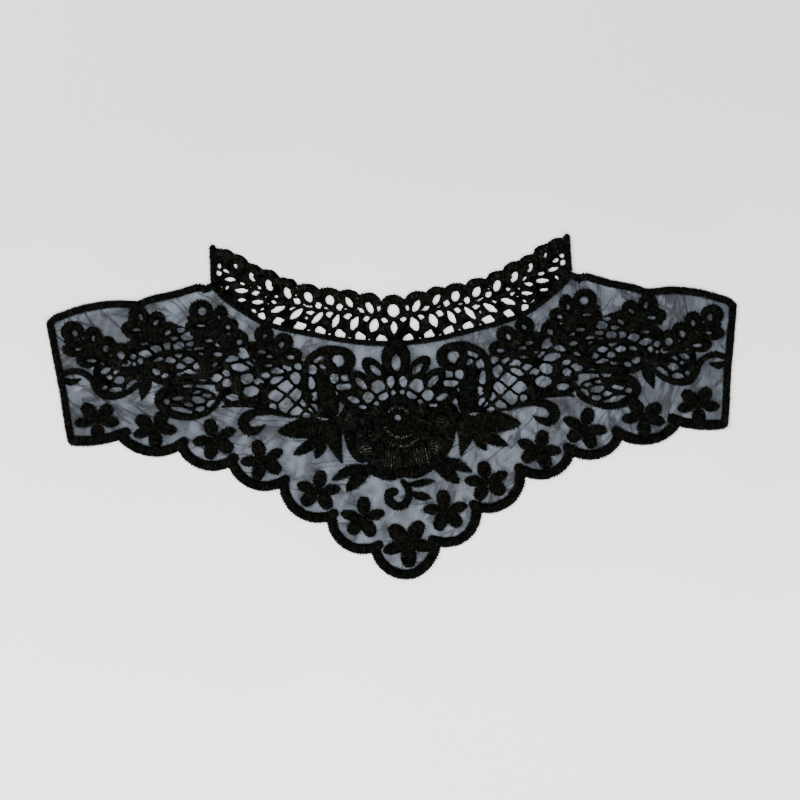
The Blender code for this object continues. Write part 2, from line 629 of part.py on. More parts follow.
def set_finish(material, colour, roughness):
    """Gives a material its colour and roughness."""
    material.use_nodes = True
    shader = material.node_tree.nodes["Principled BSDF"]
    shader.inputs["Base Color"].default_value = (*colour, 1.0)
    shader.inputs["Roughness"].default_value = roughness
    material.diffuse_color = (*colour, 1.0)


def plate(name, field, bottom, top, ridges=(), crown=0.0, tolerance=0.2, flank=FLANK, material=thread):
    """Makes a footprint a solid: a flat underside, sloping flanks and a top raised at its ridges."""
    loops = outlines(field, tolerance)
    inner = []
    for loop in loops:
        _, slope = read(field, loop)
        inner.append(loop - slope * flank)
    extra = np.empty((0, 2))
    if crown > 0.0 and len(ridges):
        spots = np.vstack(ridges)
        depth, _ = read(field, spots)
        clear = (depth < -0.75) & np.array([sum(holds(loop, p) for loop in loops) == 1 for p in spots])
        extra = spots[clear]
    faces = fill(inner, extra)
    if faces is None:
        inner = loops
        faces = fill(inner, extra)
    below = fill(loops, [])
    mesh = bmesh.new()
    lower = [mesh.verts.new((x * MM, y * MM, bottom * MM)) for loop in loops for x, y in loop]
    upper = [mesh.verts.new((x * MM, y * MM, top * MM)) for loop in inner for x, y in loop]
    upper += [mesh.verts.new((x * MM, y * MM, (top + crown) * MM)) for x, y in extra]
    for face in faces:
        mesh.faces.new([upper[k] for k in face])
    for face in below:
        mesh.faces.new([lower[k] for k in reversed(face)])
    start = 0
    for loop in loops:
        for k in range(len(loop)):
            a, b = start + k, start + (k + 1) % len(loop)
            mesh.faces.new((lower[a], lower[b], upper[b], upper[a]))
        start += len(loop)
    bmesh.ops.recalc_face_normals(mesh, faces=mesh.faces)
    data = bpy.data.meshes.new(name)
    mesh.to_mesh(data)
    mesh.free()
    data.materials.append(material)
    thing = bpy.data.objects.new(name, data)
    collar.objects.link(thing)
    return thing


def ridge(rows, side=1, every=3.5):
    """Points along the middle of a line of stitching, where its top is raised."""
    path = smooth(mirrored(np.array(rows, float)[:, :2], side), every)
    return lay(path[1:-1]) if len(path) > 3 else lay(path)


def petal_points(flower, k):
    """The root, belly and tip of one petal of a flower."""
    x, y, share = flower[:3]
    angle = math.radians(flower[3 + k])
    length, belly, tip = POINTED_PETAL if k < 2 else ROUND_PETAL
    rows = []
    for part, width in ((0.1, 2.4), (0.58, belly), (1.0, tip)):
        reach = part * length * share
        rows.append((x + reach * math.cos(angle), y + reach * math.sin(angle), width * share))
    return rows


def arc(start, end, swell, inset, before, after):
    """Points on a scallop's arc, moved in by half its width and lengthened at its ends."""
    start, end = np.array(start), np.array(end)
    chord = end - start
    half = np.linalg.norm(chord) / 2
    radius = (half**2 + swell**2) / (2 * swell)
    outward = np.array([-chord[1], chord[0]]) / (2 * half)
    if outward[1] > 0:
        outward = -outward
    centre = (start + end) / 2 - outward * (radius - swell)
    a0 = math.atan2(*(start - centre)[::-1])
    a1 = math.atan2(*(end - centre)[::-1])
    if a1 > a0:
        a0, a1 = a0 + 2 * math.pi, a1
    if a0 - a1 > math.pi:
        a0 -= 2 * math.pi
    a0 += before / radius * (1 if a0 > a1 else -1)
    a1 -= after / radius * (1 if a0 > a1 else -1)
    angles = np.linspace(a0, a1, 11)
    reach = radius - inset
    return np.stack([centre[0] + reach * np.cos(angles), centre[1] + reach * np.sin(angles)], axis=1)


def hem_rows():
    """The middle line of each scallop's stitching in the left half, from the centre outwards."""
    rows = []
    for (x0, y0, swell), (x1, y1, _) in zip(HEM_NOTCHES[:-1], HEM_NOTCHES[1:]):
        last = x1 == HEM_NOTCHES[-1][0]
        rows.append(arc((x0, y0), (x1, y1), swell, HEM_WIDTH / 2, 5.6, -3.2 if last else 1.2))
    return rows


def main():
    set_finish(thread, THREAD_COLOUR, 0.5)
    set_finish(organza, ORGANZA_COLOUR, 0.6)
    sides = (("left", 1), ("right", -1))

    # Sewn edges
    edges = []
    scallops = hem_rows()
    x, y, _ = HEM_NOTCHES[0]
    centre_line = arc((-x, y), (x, y), CENTRE_SWELL, HEM_WIDTH / 2, 1.2, 1.2)
    hem = {("centre", 0): (stroke(centre_line, 1, HEM_WIDTH), [ridge(centre_line)])}
    for word, side in sides:
        for k, rows in enumerate(scallops, 1):
            hem[(word, k)] = (stroke(rows, side, HEM_WIDTH), [ridge(rows, side)])
    bars = {word: stroke(END_BAR, side, END_BAR_WIDTH) for word, side in sides}
    cord_rows = list(NECK_CORD) + [(-x, y) for x, y in NECK_CORD[-2::-1]]
    cord = cut(stroke(cord_rows, 1, NECK_CORD_WIDTH), *bars.values(), gap=SEAM_GAP)
    wing_edges = {word: stroke(WING_EDGE, side, WING_EDGE_WIDTH) for word, side in sides}
    side_edges = {word: stroke(SIDE_EDGE, side, SIDE_EDGE_WIDTH) for word, side in sides}
    for word, side in sides:
        wing_edges[word] = cut(wing_edges[word], bars[word], cord, gap=SEAM_GAP)
        side_edges[word] = cut(side_edges[word], wing_edges[word], gap=SEAM_GAP)
        plate(f"stand_end_bar_{word}", bars[word], 0.0, CORD_TOP, [ridge(END_BAR, side, 4.0)], 0.6)
        plate(f"wing_edge_{word}", wing_edges[word], 0.0, EDGE_TOP, [ridge(WING_EDGE, side, 5.0)], 0.5)
        plate(f"side_edge_{word}", side_edges[word], 0.0, EDGE_TOP, [ridge(SIDE_EDGE, side, 6.0)], 0.5)
        edges += [wing_edges[word], side_edges[word]]
    plate("neck_seam_cord", cord, 0.0, CORD_TOP, [ridge(cord_rows, 1, 6.0)], 0.5)
    for (word, k), (field, line) in hem.items():
        above = [hem[(w, n)][0] for w, n in hem if n == k + 1 and (w == word or word == "centre")]
        field = cut(field, *above, gap=SEAM_GAP)
        if k == len(scallops):
            field = cut(field, side_edges[word], gap=SEAM_GAP)
        name = "hem_scallop_centre" if word == "centre" else f"hem_scallop_{k}_{word}"
        plate(name, field, 0.0, EDGE_TOP, line, 0.6, tolerance=0.27)
        edges.append(field)
    border = join(*edges, cord, *bars.values())

    # Organza yoke
    left = [tuple(p) for p in WING_EDGE[::-1]] + [tuple(p) for p in SIDE_EDGE]
    left += [tuple(p) for rows in scallops[::-1] for p in rows[::-1]]
    right = [(-px, py) for px, py in left]
    neck = [(px, py) for px, py in cord_rows]
    rim = neck[::-1] + left + [tuple(p) for p in centre_line[::-1]] + right[::-1]
    yoke = cut(area(rim), border, gap=SEAM_GAP)
    plate("organza_yoke", yoke, 0.0, GROUND_TOP, tolerance=0.3, flank=0.0, material=organza)

    # Guipure stand
    plate("lace_stand", stand_field(border), 0.0, LACE_TOP, stand_ridges(), 0.5, tolerance=0.34)

    # Raised embroidery, each piece parted from the ones before it
    taken = [border]

    def motif(name, field, ridges, top=MOTIF_TOP, crown=0.5, tolerance=0.3):
        field = cut(field, join(*taken), gap=SEAM_GAP)
        plate(name, field, MOTIF_BOTTOM, top, ridges, crown, tolerance)
        taken.append(field)

    x, y, radius = ROSE_HEART
    heart = cut(oval((x, y, 2 * radius, 2 * radius)), oval(ROSE_HOLE))
    rings = [rose_ring(x, y, radius * share, count) for share, count in ((0.35, 8), (0.68, 14))]
    motif("rose_heart", heart, rings, ROSE_TOP, 0.7)
    for word, side in sides:
        tops = [ridge(ROSE_LOBE, side, 4.0)]
        motif(f"rose_petal_{word}", stroke(ROSE_LOBE, side), tops, ROSE_TOP - 0.3, 0.8)
    skirt = join(stroke(ROSE_SKIRT), stroke(SKIRT_TOP))
    motif("rose_skirt", skirt, [ridge(ROSE_SKIRT, 1, 4.0)], ROSE_TOP - 0.5, 0.6)
    for word, side in sides:
        for group in ("side", "foot"):
            leaves = [leaf[1:] for leaf in LEAVES if leaf[0] == group]
            field = join(*[lens(leaf, side) for leaf in leaves])
            tops = [ridge(leaf, side, 3.5) for leaf in leaves]
            motif(f"rose_{group}_leaves_{word}", field, tops, crown=0.7)
    swirl = join(stroke(SPIRAL, 1), *[lens(leaf) for leaf in SPIRAL_LEAVES])
    motif("spiral_sprig", swirl, [ridge(SPIRAL), *[ridge(leaf) for leaf in SPIRAL_LEAVES]])
    for word, side in sides:
        for k, flower in enumerate(FLOWERS[::-1], 1):
            motif(f"flower_{k}_{word}", flower_field(flower, side), petal_tops(flower, side), crown=0.7)
    motif("flower_centre", flower_field(CENTRE_FLOWER, 1), petal_tops(CENTRE_FLOWER, 1), crown=0.7)
    for word, side in sides:
        motif(f"hook_scroll_{word}", stroke(HOOK_SCROLL, side), [ridge(HOOK_SCROLL, side)], crown=0.8)
        leaf = lens(STANDING_LEAF, side)
        motif(f"standing_leaf_{word}", leaf, [ridge(STANDING_LEAF, side)], crown=0.7)
    crest, crest_ridges = crest_field()
    motif("rose_crest", crest, crest_ridges)
    for word, side in sides:
        ground = net(region(np.array(C_NET_OUTLINE), side), [oval(gap, side) for gap in C_NET_GAPS])
        scroll = cut(join(ground, stroke(C_SCROLL, side), oval(C_RING, side)), oval(C_RING_HOLE, side))
        motif(f"c_scroll_{word}", scroll, [ridge(C_SCROLL, side)], crown=0.7, tolerance=0.36)
        lace = wing_lace(side)
        spans = (("front", -78.6, 0.0), ("middle", -142.5, -78.6), ("outer", -200.0, -142.5))
        for group, low, high in spans:
            stretch = np.maximum(lace, between(low, high, side))
            motif(f"{group}_spray_lace_{word}", stretch, wing_ridges(side, low, high), tolerance=0.36)


def between(low, high, side):
    """The footprint of the stretch between two lines across the collar, in the left half or mirrored."""
    x, _ = np.meshgrid(grid_x, grid_y, indexing="ij")
    a, b = sorted((side * low, side * high))
    return np.clip(np.maximum(a - x, x - b), -FAR, FAR)


def rose_ring(x, y, radius, count):
    """Points round one ring of the rose's heart."""
    angles = np.arange(count) * 2 * math.pi / count
    return lay(np.stack([x + radius * np.cos(angles), y + radius * np.sin(angles)], axis=1))


def flower_field(flower, side):
    """The footprint of a five-petalled flower."""
    petals = [lens(petal_points(flower, k), side, PETAL_FULLNESS) for k in range(5)]
    return join(*petals, oval((flower[0], flower[1], 5.4, 5.4, 0), side))


def petal_tops(flower, side):
    """The raised middle of each petal."""
    return [lay(mirrored([petal_points(flower, k)[1][:2]], side)) for k in range(5)]


def both(rows):
    """Each row for the left half and again for the right half, without doubling the middle."""
    return [(row, side) for row in rows for side in ((1, -1) if row[0] != 0.0 else (1,))]


def stand_field(border):
    """The footprint of the stand: scallops over a strip, with its gaps cut out."""
    crests = []
    for (x, y, crest, *_), side in both(STAND_DROPS):
        crests.append(oval((x, (y + crest) / 2 - 2.0, CREST_WIDTH, crest - y + 4.0), side))
    top = [(x, (y + crest) / 2) for x, y, crest, *_ in STAND_DROPS[::-1]]
    strip = top + [(-x, y) for x, y in top[-2::-1]]
    neck = list(NECK_CORD) + [(-x, y) for x, y in NECK_CORD[-2::-1]]
    body = join(area([(-STAND_END, 90.0)] + strip + [(STAND_END, 90.0)] + neck[::-1]), *crests)
    body = np.maximum(body, area([(-STAND_END, 99.0), (STAND_END, 99.0)] + neck[::-1]))
    gaps = [oval((*row[:2], *row[3:]), side) for row, side in both(STAND_DROPS)]
    gaps += [oval(row, side) for row, side in both(STAND_LEAVES)]
    gaps += [oval(row, side, power=1.5) for row, side in both(STAND_CORNERS)]
    return cut(cut(body, *gaps), border, gap=SEAM_GAP)


def stand_ridges():
    """The stand's raised scallops and its middle stem."""
    line = list(STAND_STEM) + [(-x, y) for x, y in STAND_STEM[-2::-1]]
    crest = [(x, (y + height / 2 + crest) / 2) for x, y, crest, _, height, _ in STAND_DROPS]
    top = crest[::-1] + [(-x, y) for x, y in crest[1:]]
    return [ridge(line, 1, 6.0), ridge(top, 1, 6.0)]


def crest_field():
    """The footprint of the crest over the rose, and its ridges."""
    gaps = [oval(row, side) for row in CREST_GAPS for side in (1, -1)] + [oval(CREST_HOLE)]
    loops = [oval(row, side) for row in CREST_LOOPS for side in (1, -1)]
    arc_rows = list(CREST_ARC) + [(-x, y) for x, y in CREST_ARC[-2::-1]]
    fan = region(np.array(arc_rows + [(20.0, 2.0), (-20.0, 2.0)]), 1)
    field = cut(join(fan, *loops, oval(CREST_CENTRE)), *gaps)
    x, y, width, height = CREST_CENTRE
    centre = [(x, y + height / 2 - 2.0), (x + width / 2 - 2.4, y), (x - width / 2 + 2.4, y)]
    return field, [lay(centre)]


def wing_lace(side):
    """The footprint of the whole embroidered patch of one wing."""
    strokes = (OUTER_SCROLL, EDGE_LEAF, UPPER_OVAL, LOWER_OVAL, DROP_LEAF, STEM_LEAF)
    gaps = [oval(row, side) for row in NET_GAPS] + [oval((*row, 0), side, power=1.4) for row in LATTICE_GAPS]
    ground = net(join(region(np.array(NET_OUTLINE), side), oval(LOWER_OVAL_NET, side)), gaps)
    solid = [stroke(rows, side) for rows in strokes] + [oval((*row[:4], 0), side) for row in EYELETS]
    return cut(join(ground, *solid), *[oval(row[4:], side) for row in EYELETS])


def wing_ridges(side, low, high):
    """The raised lines of one stretch of the wing's patch."""
    rows = []
    for line in (OUTER_SCROLL, UPPER_OVAL, LOWER_OVAL, DROP_LEAF, STEM_LEAF):
        inside = [row for row in line if low < row[0] < high]
        if len(inside) > 2:
            rows.append(ridge(inside, side, 4.5))
    for x, y, width, height, *_ in EYELETS:
        if low < x < high:
            spots = [(x - 0.3 * width, y), (x + 0.3 * width, y), (x, y + 0.32 * height)]
            rows.append(lay(mirrored(spots, side)))
    return rows


collar = bpy.data.collections.new("lace_collar")
bpy.context.scene.collection.children.link(collar)
clear_scene()
main()
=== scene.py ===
"""A black lace collar lying flat on a pale table: organza yoke, stitched edges, stand, rose and flowers."""
import math

import bmesh
import bpy
import numpy as np
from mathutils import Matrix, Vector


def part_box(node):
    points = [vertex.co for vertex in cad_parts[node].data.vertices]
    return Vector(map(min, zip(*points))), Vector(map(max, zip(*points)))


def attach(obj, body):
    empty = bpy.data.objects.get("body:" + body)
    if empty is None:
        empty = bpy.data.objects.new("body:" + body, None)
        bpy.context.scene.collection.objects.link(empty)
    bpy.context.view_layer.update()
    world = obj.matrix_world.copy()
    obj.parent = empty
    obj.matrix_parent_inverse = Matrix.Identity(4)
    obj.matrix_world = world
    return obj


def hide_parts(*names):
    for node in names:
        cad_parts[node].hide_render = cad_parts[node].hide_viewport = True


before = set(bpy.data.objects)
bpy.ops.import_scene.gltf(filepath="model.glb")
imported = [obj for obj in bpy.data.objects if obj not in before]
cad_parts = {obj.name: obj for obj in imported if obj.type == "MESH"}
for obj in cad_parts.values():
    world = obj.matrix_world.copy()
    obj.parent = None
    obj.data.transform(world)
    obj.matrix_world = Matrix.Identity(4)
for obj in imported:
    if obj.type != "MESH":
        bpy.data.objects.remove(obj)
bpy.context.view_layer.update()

# The table and the light
# A smooth white board under daylight from two windows, one at the left and one at the front.  The camera
# looks straight down, turned a little, so that the collar rises to the right as it does in the picture.
PICTURE_WIDTH = 0.4376
CAMERA_AT = (0.00312, 0.00577)
CAMERA_HEIGHT = 1.1
PICTURE_TURN = math.radians(1.9)
SENSOR = 36.0
TABLE_REACH = 3.0


def linear(code):
    """The linear colour of an sRGB hex value."""
    shares = [int(code[k : k + 2], 16) / 255 for k in (0, 2, 4)]
    return [*(c / 12.92 if c <= 0.04045 else ((c + 0.055) / 1.055) ** 2.4 for c in shares), 1.0]


def add(tree, kind, inputs, **fields):
    """Adds a shader node with its settings.  An input is a value, or the node or socket it comes from."""
    node = tree.nodes.new("ShaderNode" + kind)
    for field, value in fields.items():
        setattr(node, field, value)
    for socket, value in inputs.items():
        source = value.outputs[0] if isinstance(value, bpy.types.Node) else value
        if isinstance(source, bpy.types.NodeSocket):
            tree.links.new(source, node.inputs[socket])
        else:
            node.inputs[socket].default_value = source
    return node


def finish(name, roughness, specular):
    """A new material with its tree and its shader."""
    material = bpy.data.materials.new(name)
    material.use_nodes = True
    shader = material.node_tree.nodes["Principled BSDF"]
    shader.inputs["Roughness"].default_value = roughness
    shader.inputs["Specular IOR Level"].default_value = specular
    return material, material.node_tree, shader


# Painted board: matt, with a faint unevenness.  Its colour holds painted shade, a little greyer away from the
# front window, towards +y.
WINDOW_SHADE_REACH = 0.16
WINDOW_SHADE_MIDDLE = 0.05
board, tree, shader = finish("matt_white_board", 0.65, 0.25)
place = add(tree, "TexCoord", {}).outputs["Object"]
axes = add(tree, "SeparateXYZ", {0: place})
cloud = add(tree, "TexNoise", {"Vector": place, "Scale": 7.0, "Detail": 3.0})
drift = add(tree, "Math", {0: cloud, 1: 0.10, 2: axes.outputs[1]}, operation="MULTIPLY_ADD")
away = add(tree, "MapRange", {0: drift, 1: WINDOW_SHADE_MIDDLE - WINDOW_SHADE_REACH, 2: WINDOW_SHADE_MIDDLE + WINDOW_SHADE_REACH})
painted_window_shade = add(tree, "Mix", {0: away, 6: linear("fffdff"), 7: linear("dad6d8")}, data_type="RGBA")
tree.links.new(painted_window_shade.outputs[2], shader.inputs["Base Color"])

bm = bmesh.new()
bmesh.ops.create_grid(bm, x_segments=8, y_segments=8, size=TABLE_REACH)
data = bpy.data.meshes.new("table")
bm.to_mesh(data)
bm.free()
data.materials.append(board)
table = bpy.data.objects.new("table", data)
bpy.context.scene.collection.objects.link(table)

lens = bpy.data.cameras.new("camera")
lens.sensor_width = SENSOR
lens.lens = SENSOR * CAMERA_HEIGHT / PICTURE_WIDTH
camera = bpy.data.objects.new("camera", lens)
camera.location = (*CAMERA_AT, CAMERA_HEIGHT)
camera.rotation_euler = (0.0, 0.0, -PICTURE_TURN)
bpy.context.scene.collection.objects.link(camera)
bpy.context.scene.camera = camera

world = bpy.data.worlds.new("daylight")
world.use_nodes = True
sky = world.node_tree.nodes["Background"]
sky.inputs["Color"].default_value = linear("f2f5fa")
sky.inputs["Strength"].default_value = 1.35
bpy.context.scene.world = world

WINDOWS = (
    # x, y, z, size across, power
    (-1.1, 0.5, 1.3, 0.8, 42.0),
    (0.5, -1.2, 1.5, 1.2, 50.0),
)
for k, (x, y, z, size, power) in enumerate(WINDOWS):
    glow = bpy.data.lights.new(f"window_{k}", "AREA")
    glow.size = size
    glow.energy = power
    glow.color = linear("fffdfa")[:3]
    lamp = bpy.data.objects.new(f"window_{k}", glow)
    lamp.location = (x, y, z)
    lamp.rotation_euler = (math.atan2(math.hypot(x, y), z), 0.0, math.atan2(x, -y))
    bpy.context.scene.collection.objects.link(lamp)

# The stitched edges
# Thick satin stitch in black rayon, laid over a cord.  It binds the cut edge of the organza all
# round: the neck seam, both wings' upper edges, their ends, and a hem of thirteen scallops.
MM = 0.001
COLLAR_LEAN = 0.02
NECK_PIVOT = 10.0
DROOP = 2.6
DROOP_FROM = 80.0
DROOP_RUN = 60.0
CENTRE_X = -2.0
CENTRE_Y = 2.7
HEM_LIFT = 2.2
END_PULL = 2.0
HEM_WIDTH = 6.0
WING_EDGE_WIDTH = 4.5
SIDE_EDGE_WIDTH = 4.6
END_BAR_WIDTH = 3.8
NECK_CORD_WIDTH = 3.0
EDGE_HEIGHT = 2.5
CORD_HEIGHT = 2.8
STITCH = 0.52
STITCH_STRAY = 0.12
GROOVE = 0.74
TUFT = 1.4
TUFT_REACH = 0.34
TUFT_RISE = 0.22
FULL_WIDTH = 1.6
ACROSS = (0.0, 0.08, 0.24, 0.5, 0.76, 0.92, 1.0)
SIDES = (("left", 1), ("right", -1))
stray = np.random.default_rng(11)

HEM_NOTCHES = (
    # x, y, swell towards the next notch
    (-19.0, -75.0, 6.6),
    (-42.5, -57.0, 7.0),
    (-67.5, -38.0, 5.9),
    (-94.5, -25.5, 5.5),
    (-121.5, -15.8, 5.5),
    (-154.0, -8.7, 1.6),
    (-182.0, -10.4, 0.0),
)
CENTRE_SWELL = 15.0
WING_EDGE = (
    # x, y of the middle of the stitching, from the outer corner to the stand
    (-187.7, 56.6), (-184.6, 59.4), (-178.5, 61.5), (-168.4, 64.3), (-158.0, 65.8), (-150.2, 66.1),
    (-139.2, 65.5), (-131.9, 67.9), (-118.5, 70.4), (-106.5, 73.4), (-102.4, 72.4), (-100.2, 73.2),
)
SIDE_EDGE = (
    # x, y of the middle, from the outer corner down to the foot
    (-187.7, 55.4), (-185.6, 40.0), (-182.8, 20.0), (-180.7, 0.0), (-179.7, -7.4),
)
NECK_CORD = (
    # x, y of the middle, from the stand's end to the middle of the neck
    (-98.6, 74.6), (-93.6, 69.2), (-88.4, 64.6), (-83.0, 60.4), (-77.6, 56.6), (-72.0, 53.6),
    (-66.0, 51.2), (-58.0, 48.9), (-50.0, 47.0), (-42.0, 45.2), (-34.0, 43.4), (-26.0, 41.8),
    (-16.0, 40.3), (-6.0, 39.5), (0.0, 39.4),
)
END_BAR = ((-96.9, 95.0), (-97.2, 77.6))


def ease(value):
    """A smooth step from 0 to 1."""
    value = np.clip(value, 0.0, 1.0)
    return value * value * (3.0 - 2.0 * value)


def lay(points):
    """Moves drawn points to where they lie: the right wing hangs lower and its hem's middle is lifted."""
    points = np.array(points, float)
    x = points[:, 0]
    y = points[:, 1]
    right = x > 0.0
    lift = HEM_LIFT * ease((-y - 5.0) / 30.0) * (1.0 - ease((x - 60.0) / 35.0)) * ease(x / 20.0)
    drop = DROOP * ease((x - DROOP_FROM) / DROOP_RUN)
    pull = END_PULL * ease((x - 135.0) / 50.0)
    new_x = x - np.where(right, pull, 0.0) - COLLAR_LEAN * (y - NECK_PIVOT) - CENTRE_X
    new_y = y + np.where(right, lift - drop, 0.0) - CENTRE_Y
    return np.stack([new_x, new_y], axis=1)


def smooth(points, step=0.8):
    """Samples a smooth curve through the rows; every column, such as a width, is carried along."""
    rows = np.array(points, float)
    padded = np.vstack([2 * rows[0] - rows[1], rows, 2 * rows[-1] - rows[-2]])
    out = []
    for a, b, c, d in zip(padded[:-3], padded[1:-2], padded[2:-1], padded[3:]):
        count = max(2, int(math.ceil(np.linalg.norm((c - b)[:2]) / step)))
        bend, twist = 2 * a - 5 * b + 4 * c - d, 3 * b - a - 3 * c + d
        for t in np.arange(count) / count:
            out.append(0.5 * (2 * b + (c - a) * t + bend * t**2 + twist * t**3))
    out.append(rows[-1])
    return np.array(out)


def mirrored(rows, side, width=None):
    """Rows of the left half, or their mirror image for the right half, with one width if it is given."""
    rows = np.array(rows, float)
    rows[:, 0] *= side
    if width is not None:
        rows = np.hstack([rows[:, :2], np.full((len(rows), 1), float(width))])
    return rows


def whole(rows):
    """The places of the left half as far as the middle, then their mirror images."""
    return list(rows) + [(-x, y) for x, y in rows[-2::-1]]


def run_of(points):
    """How far along a line each of its points lies."""
    return np.concatenate([[0.0], np.cumsum(np.linalg.norm(np.diff(points, axis=0), axis=1))])


def heading(points):
    """The direction of a line at each of its points."""
    ahead = np.gradient(points, axis=0)
    return ahead / np.maximum(np.linalg.norm(ahead, axis=1, keepdims=True), 1e-9)


def edges_of(rows, side=1, width=None, stitch=STITCH):
    """The left and right edges of a line of satin stitch, with a point at every half stitch."""
    path = smooth(mirrored(rows, side, width))
    spots = lay(path[:, :2])
    half = np.maximum(path[:, 2], 0.3) / 2
    first, last = half[0], half[-1]
    for end, inner, cap in ((0, 1, first), (-1, -2, last)):
        reach = spots[end] - spots[inner]
        tip = spots[end] + reach / np.linalg.norm(reach) * cap
        spots = np.vstack([tip, spots] if end == 0 else [spots, tip])
    half = np.concatenate([half[:1], half, half[-1:]])
    run = run_of(spots)
    at = np.linspace(0.0, run[-1], max(6, int(run[-1] / (stitch / 2))) + 1)
    middle = np.stack([np.interp(at, run, spots[:, k]) for k in (0, 1)], axis=1)
    half = np.interp(at, run, half)
    for cap, gone in ((first, at), (last, run[-1] - at)):
        inner = np.clip(gone / cap, 0.0, 1.0)
        half *= np.sqrt(np.maximum(1.0 - (1.0 - inner) ** 2, 0.0))
    ahead = heading(middle)
    aside = np.stack([-ahead[:, 1], ahead[:, 0]], axis=1) * half[:, None]
    return middle + aside, middle - aside


def satin(bm, edges, bottom, height, vein=0.0, lean=0.0, closed=False, groove=GROOVE, shine=1.0):
    """Lays satin stitches between two edges: a dome of parallel threads, with a groove after each thread.
    Each crest carries painted sheen for the thread's colour; the grooves carry none, which paints them as
    shade.
    """
    left, right = edges
    count = len(left)
    span = left - right
    width = np.linalg.norm(span, axis=1)
    outward = span / np.maximum(width, 1e-6)[:, None]
    crest = np.arange(count) % 2 == 0
    along = run_of((left + right) / 2)
    turns = max(1, round(along[-1] / TUFT))
    tuft = np.sin(2 * math.pi * turns * along / along[-1] + stray.uniform(0.0, 6.0))
    tuft *= np.interp(along, np.linspace(0.0, along[-1], turns + 1), stray.uniform(0.5, 1.3, turns + 1))
    loose = np.minimum(1.0, width / 2.5)
    shifts = []
    for _ in range(2):
        wander = np.repeat(stray.normal(0.0, STITCH_STRAY, count // 2 + 1), 2)[:count]
        shifts.append((wander + np.where(crest, 0.05, -0.07) + TUFT_REACH * tuft) * loose)
    if closed:
        for shift in shifts:
            shift[-1] = shift[0]
    left = left + outward * shifts[0][:, None]
    right = right - outward * shifts[1][:, None]
    ahead = heading((left + right) / 2)
    lift = height * np.minimum(1.0, (width / FULL_WIDTH) ** 0.6) * np.where(crest, 1.0, groove)
    lift = lift * (1.0 + TUFT_RISE * tuft)
    lift *= 1.0 + 0.05 * np.repeat(stray.normal(0.0, 1.0, count // 2 + 1), 2)[:count] * (not closed)
    # Painted sheen and shade: each thread's crest gets a lighter colour, stronger on the tufts and by the
    # shine given, fading down the dome's sides; the grooves get none and stay black.
    painted_sheen_and_shade = shine * stray.uniform(0.4, 0.8, count) * (0.75 + 0.5 * tuft) * crest
    if closed:
        lift[-1] = lift[0]
        painted_sheen_and_shade[-1] = painted_sheen_and_shade[0]
    places, spots = [], []
    for t in (*ACROSS, ACROSS[0]):
        off = abs(2 * t - 1)
        flat = right + (left - right) * t + ahead * (lean * off * np.minimum(1.0, width / 3.0))[:, None]
        dome = (1.0 - off**2.4) ** 0.5 - vein * math.exp(-(((t - 0.5) / 0.09) ** 2))
        z = bottom + lift * dome
        places.append(np.column_stack([flat, z]) * MM)
        spots.append(np.column_stack([along, width * t, painted_sheen_and_shade * max(dome, 0.0) ** 0.5]))
    uv = bm.loops.layers.uv.verify()
    lit = bm.verts.layers.float.get("painted_sheen_and_shade") or bm.verts.layers.float.new("painted_sheen_and_shade")
    grid = bmesh.ops.create_grid(bm, x_segments=count - 1, y_segments=len(ACROSS), size=1.0)["verts"]
    for vert, place, spot in zip(grid, np.vstack(places), np.vstack(spots)):
        vert.co = place
        vert[lit] = spot[2]
        for loop in vert.link_loops:
            loop[uv].uv = spot[:2]


def sew(name, bm, material, node):
    """Closes the mesh, makes it a piece and sews it on in place of its CAD node."""
    bmesh.ops.remove_doubles(bm, verts=bm.verts, dist=2e-7)
    bmesh.ops.recalc_face_normals(bm, faces=bm.faces)
    data = bpy.data.meshes.new(name)
    bm.to_mesh(data)
    bm.free()
    data.shade_smooth()
    data.materials.append(material)
    piece = bpy.data.objects.new(name, data)
    bpy.context.scene.collection.objects.link(piece)
    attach(piece, "root")
    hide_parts(node)
    return piece


# Rayon embroidery thread: filament yarn laid in parallel.  It is near black, with a groove between neighbours
# drawn at the thread's real 0.5 mm.  Its dull silk gloss is painted sheen: the colour is lighter on each
# thread's crest, with a few painted grey glints, and painted shade leaves it black in the grooves.
rayon, tree, shader = finish("black_rayon_satin_stitch", 0.42, 0.01)
shader.inputs["Anisotropic"].default_value = 0.5
spot = add(tree, "UVMap", {})
axes = add(tree, "SeparateXYZ", {0: spot})
place = add(tree, "TexCoord", {}).outputs["Object"]
wobble = add(tree, "TexNoise", {"Vector": place, "Scale": 900.0, "Detail": 2.0})
bent = add(tree, "Math", {0: wobble, 1: 0.35, 2: axes}, operation="MULTIPLY_ADD")
slant = add(tree, "Math", {0: axes.outputs[1], 1: 0.10, 2: bent}, operation="MULTIPLY_ADD")
turns = add(tree, "Math", {0: slant, 1: 2 * math.pi / STITCH}, operation="MULTIPLY")
wave = add(tree, "Math", {0: turns}, operation="COSINE")
lint = add(tree, "TexNoise", {"Vector": place, "Scale": 650.0, "Detail": 2.0})
crest = add(tree, "Attribute", {}, attribute_name="painted_sheen_and_shade")
# A random spread of the painted sheen from spot to spot along the threads.
sheen_scatter = add(tree, "MapRange", {0: lint, 1: 0.32, 2: 0.68, 3: 0.1, 4: 1.9})
tone = add(tree, "Math", {0: crest.outputs["Fac"], 1: sheen_scatter}, operation="MULTIPLY")
batch = add(tree, "TexNoise", {"Vector": place, "Scale": 55.0, "Detail": 1.0})
sort = add(tree, "MapRange", {0: batch, 1: 0.38, 2: 0.62})
silk = add(tree, "Mix", {0: sort, 6: linear("1b201b"), 7: linear("21201a")}, data_type="RGBA")
# Painted shade: black where the painted sheen is nil, in the grooves between threads.
ink = add(tree, "Mix", {0: tone, 6: linear("000000"), 7: silk.outputs[2]}, data_type="RGBA")
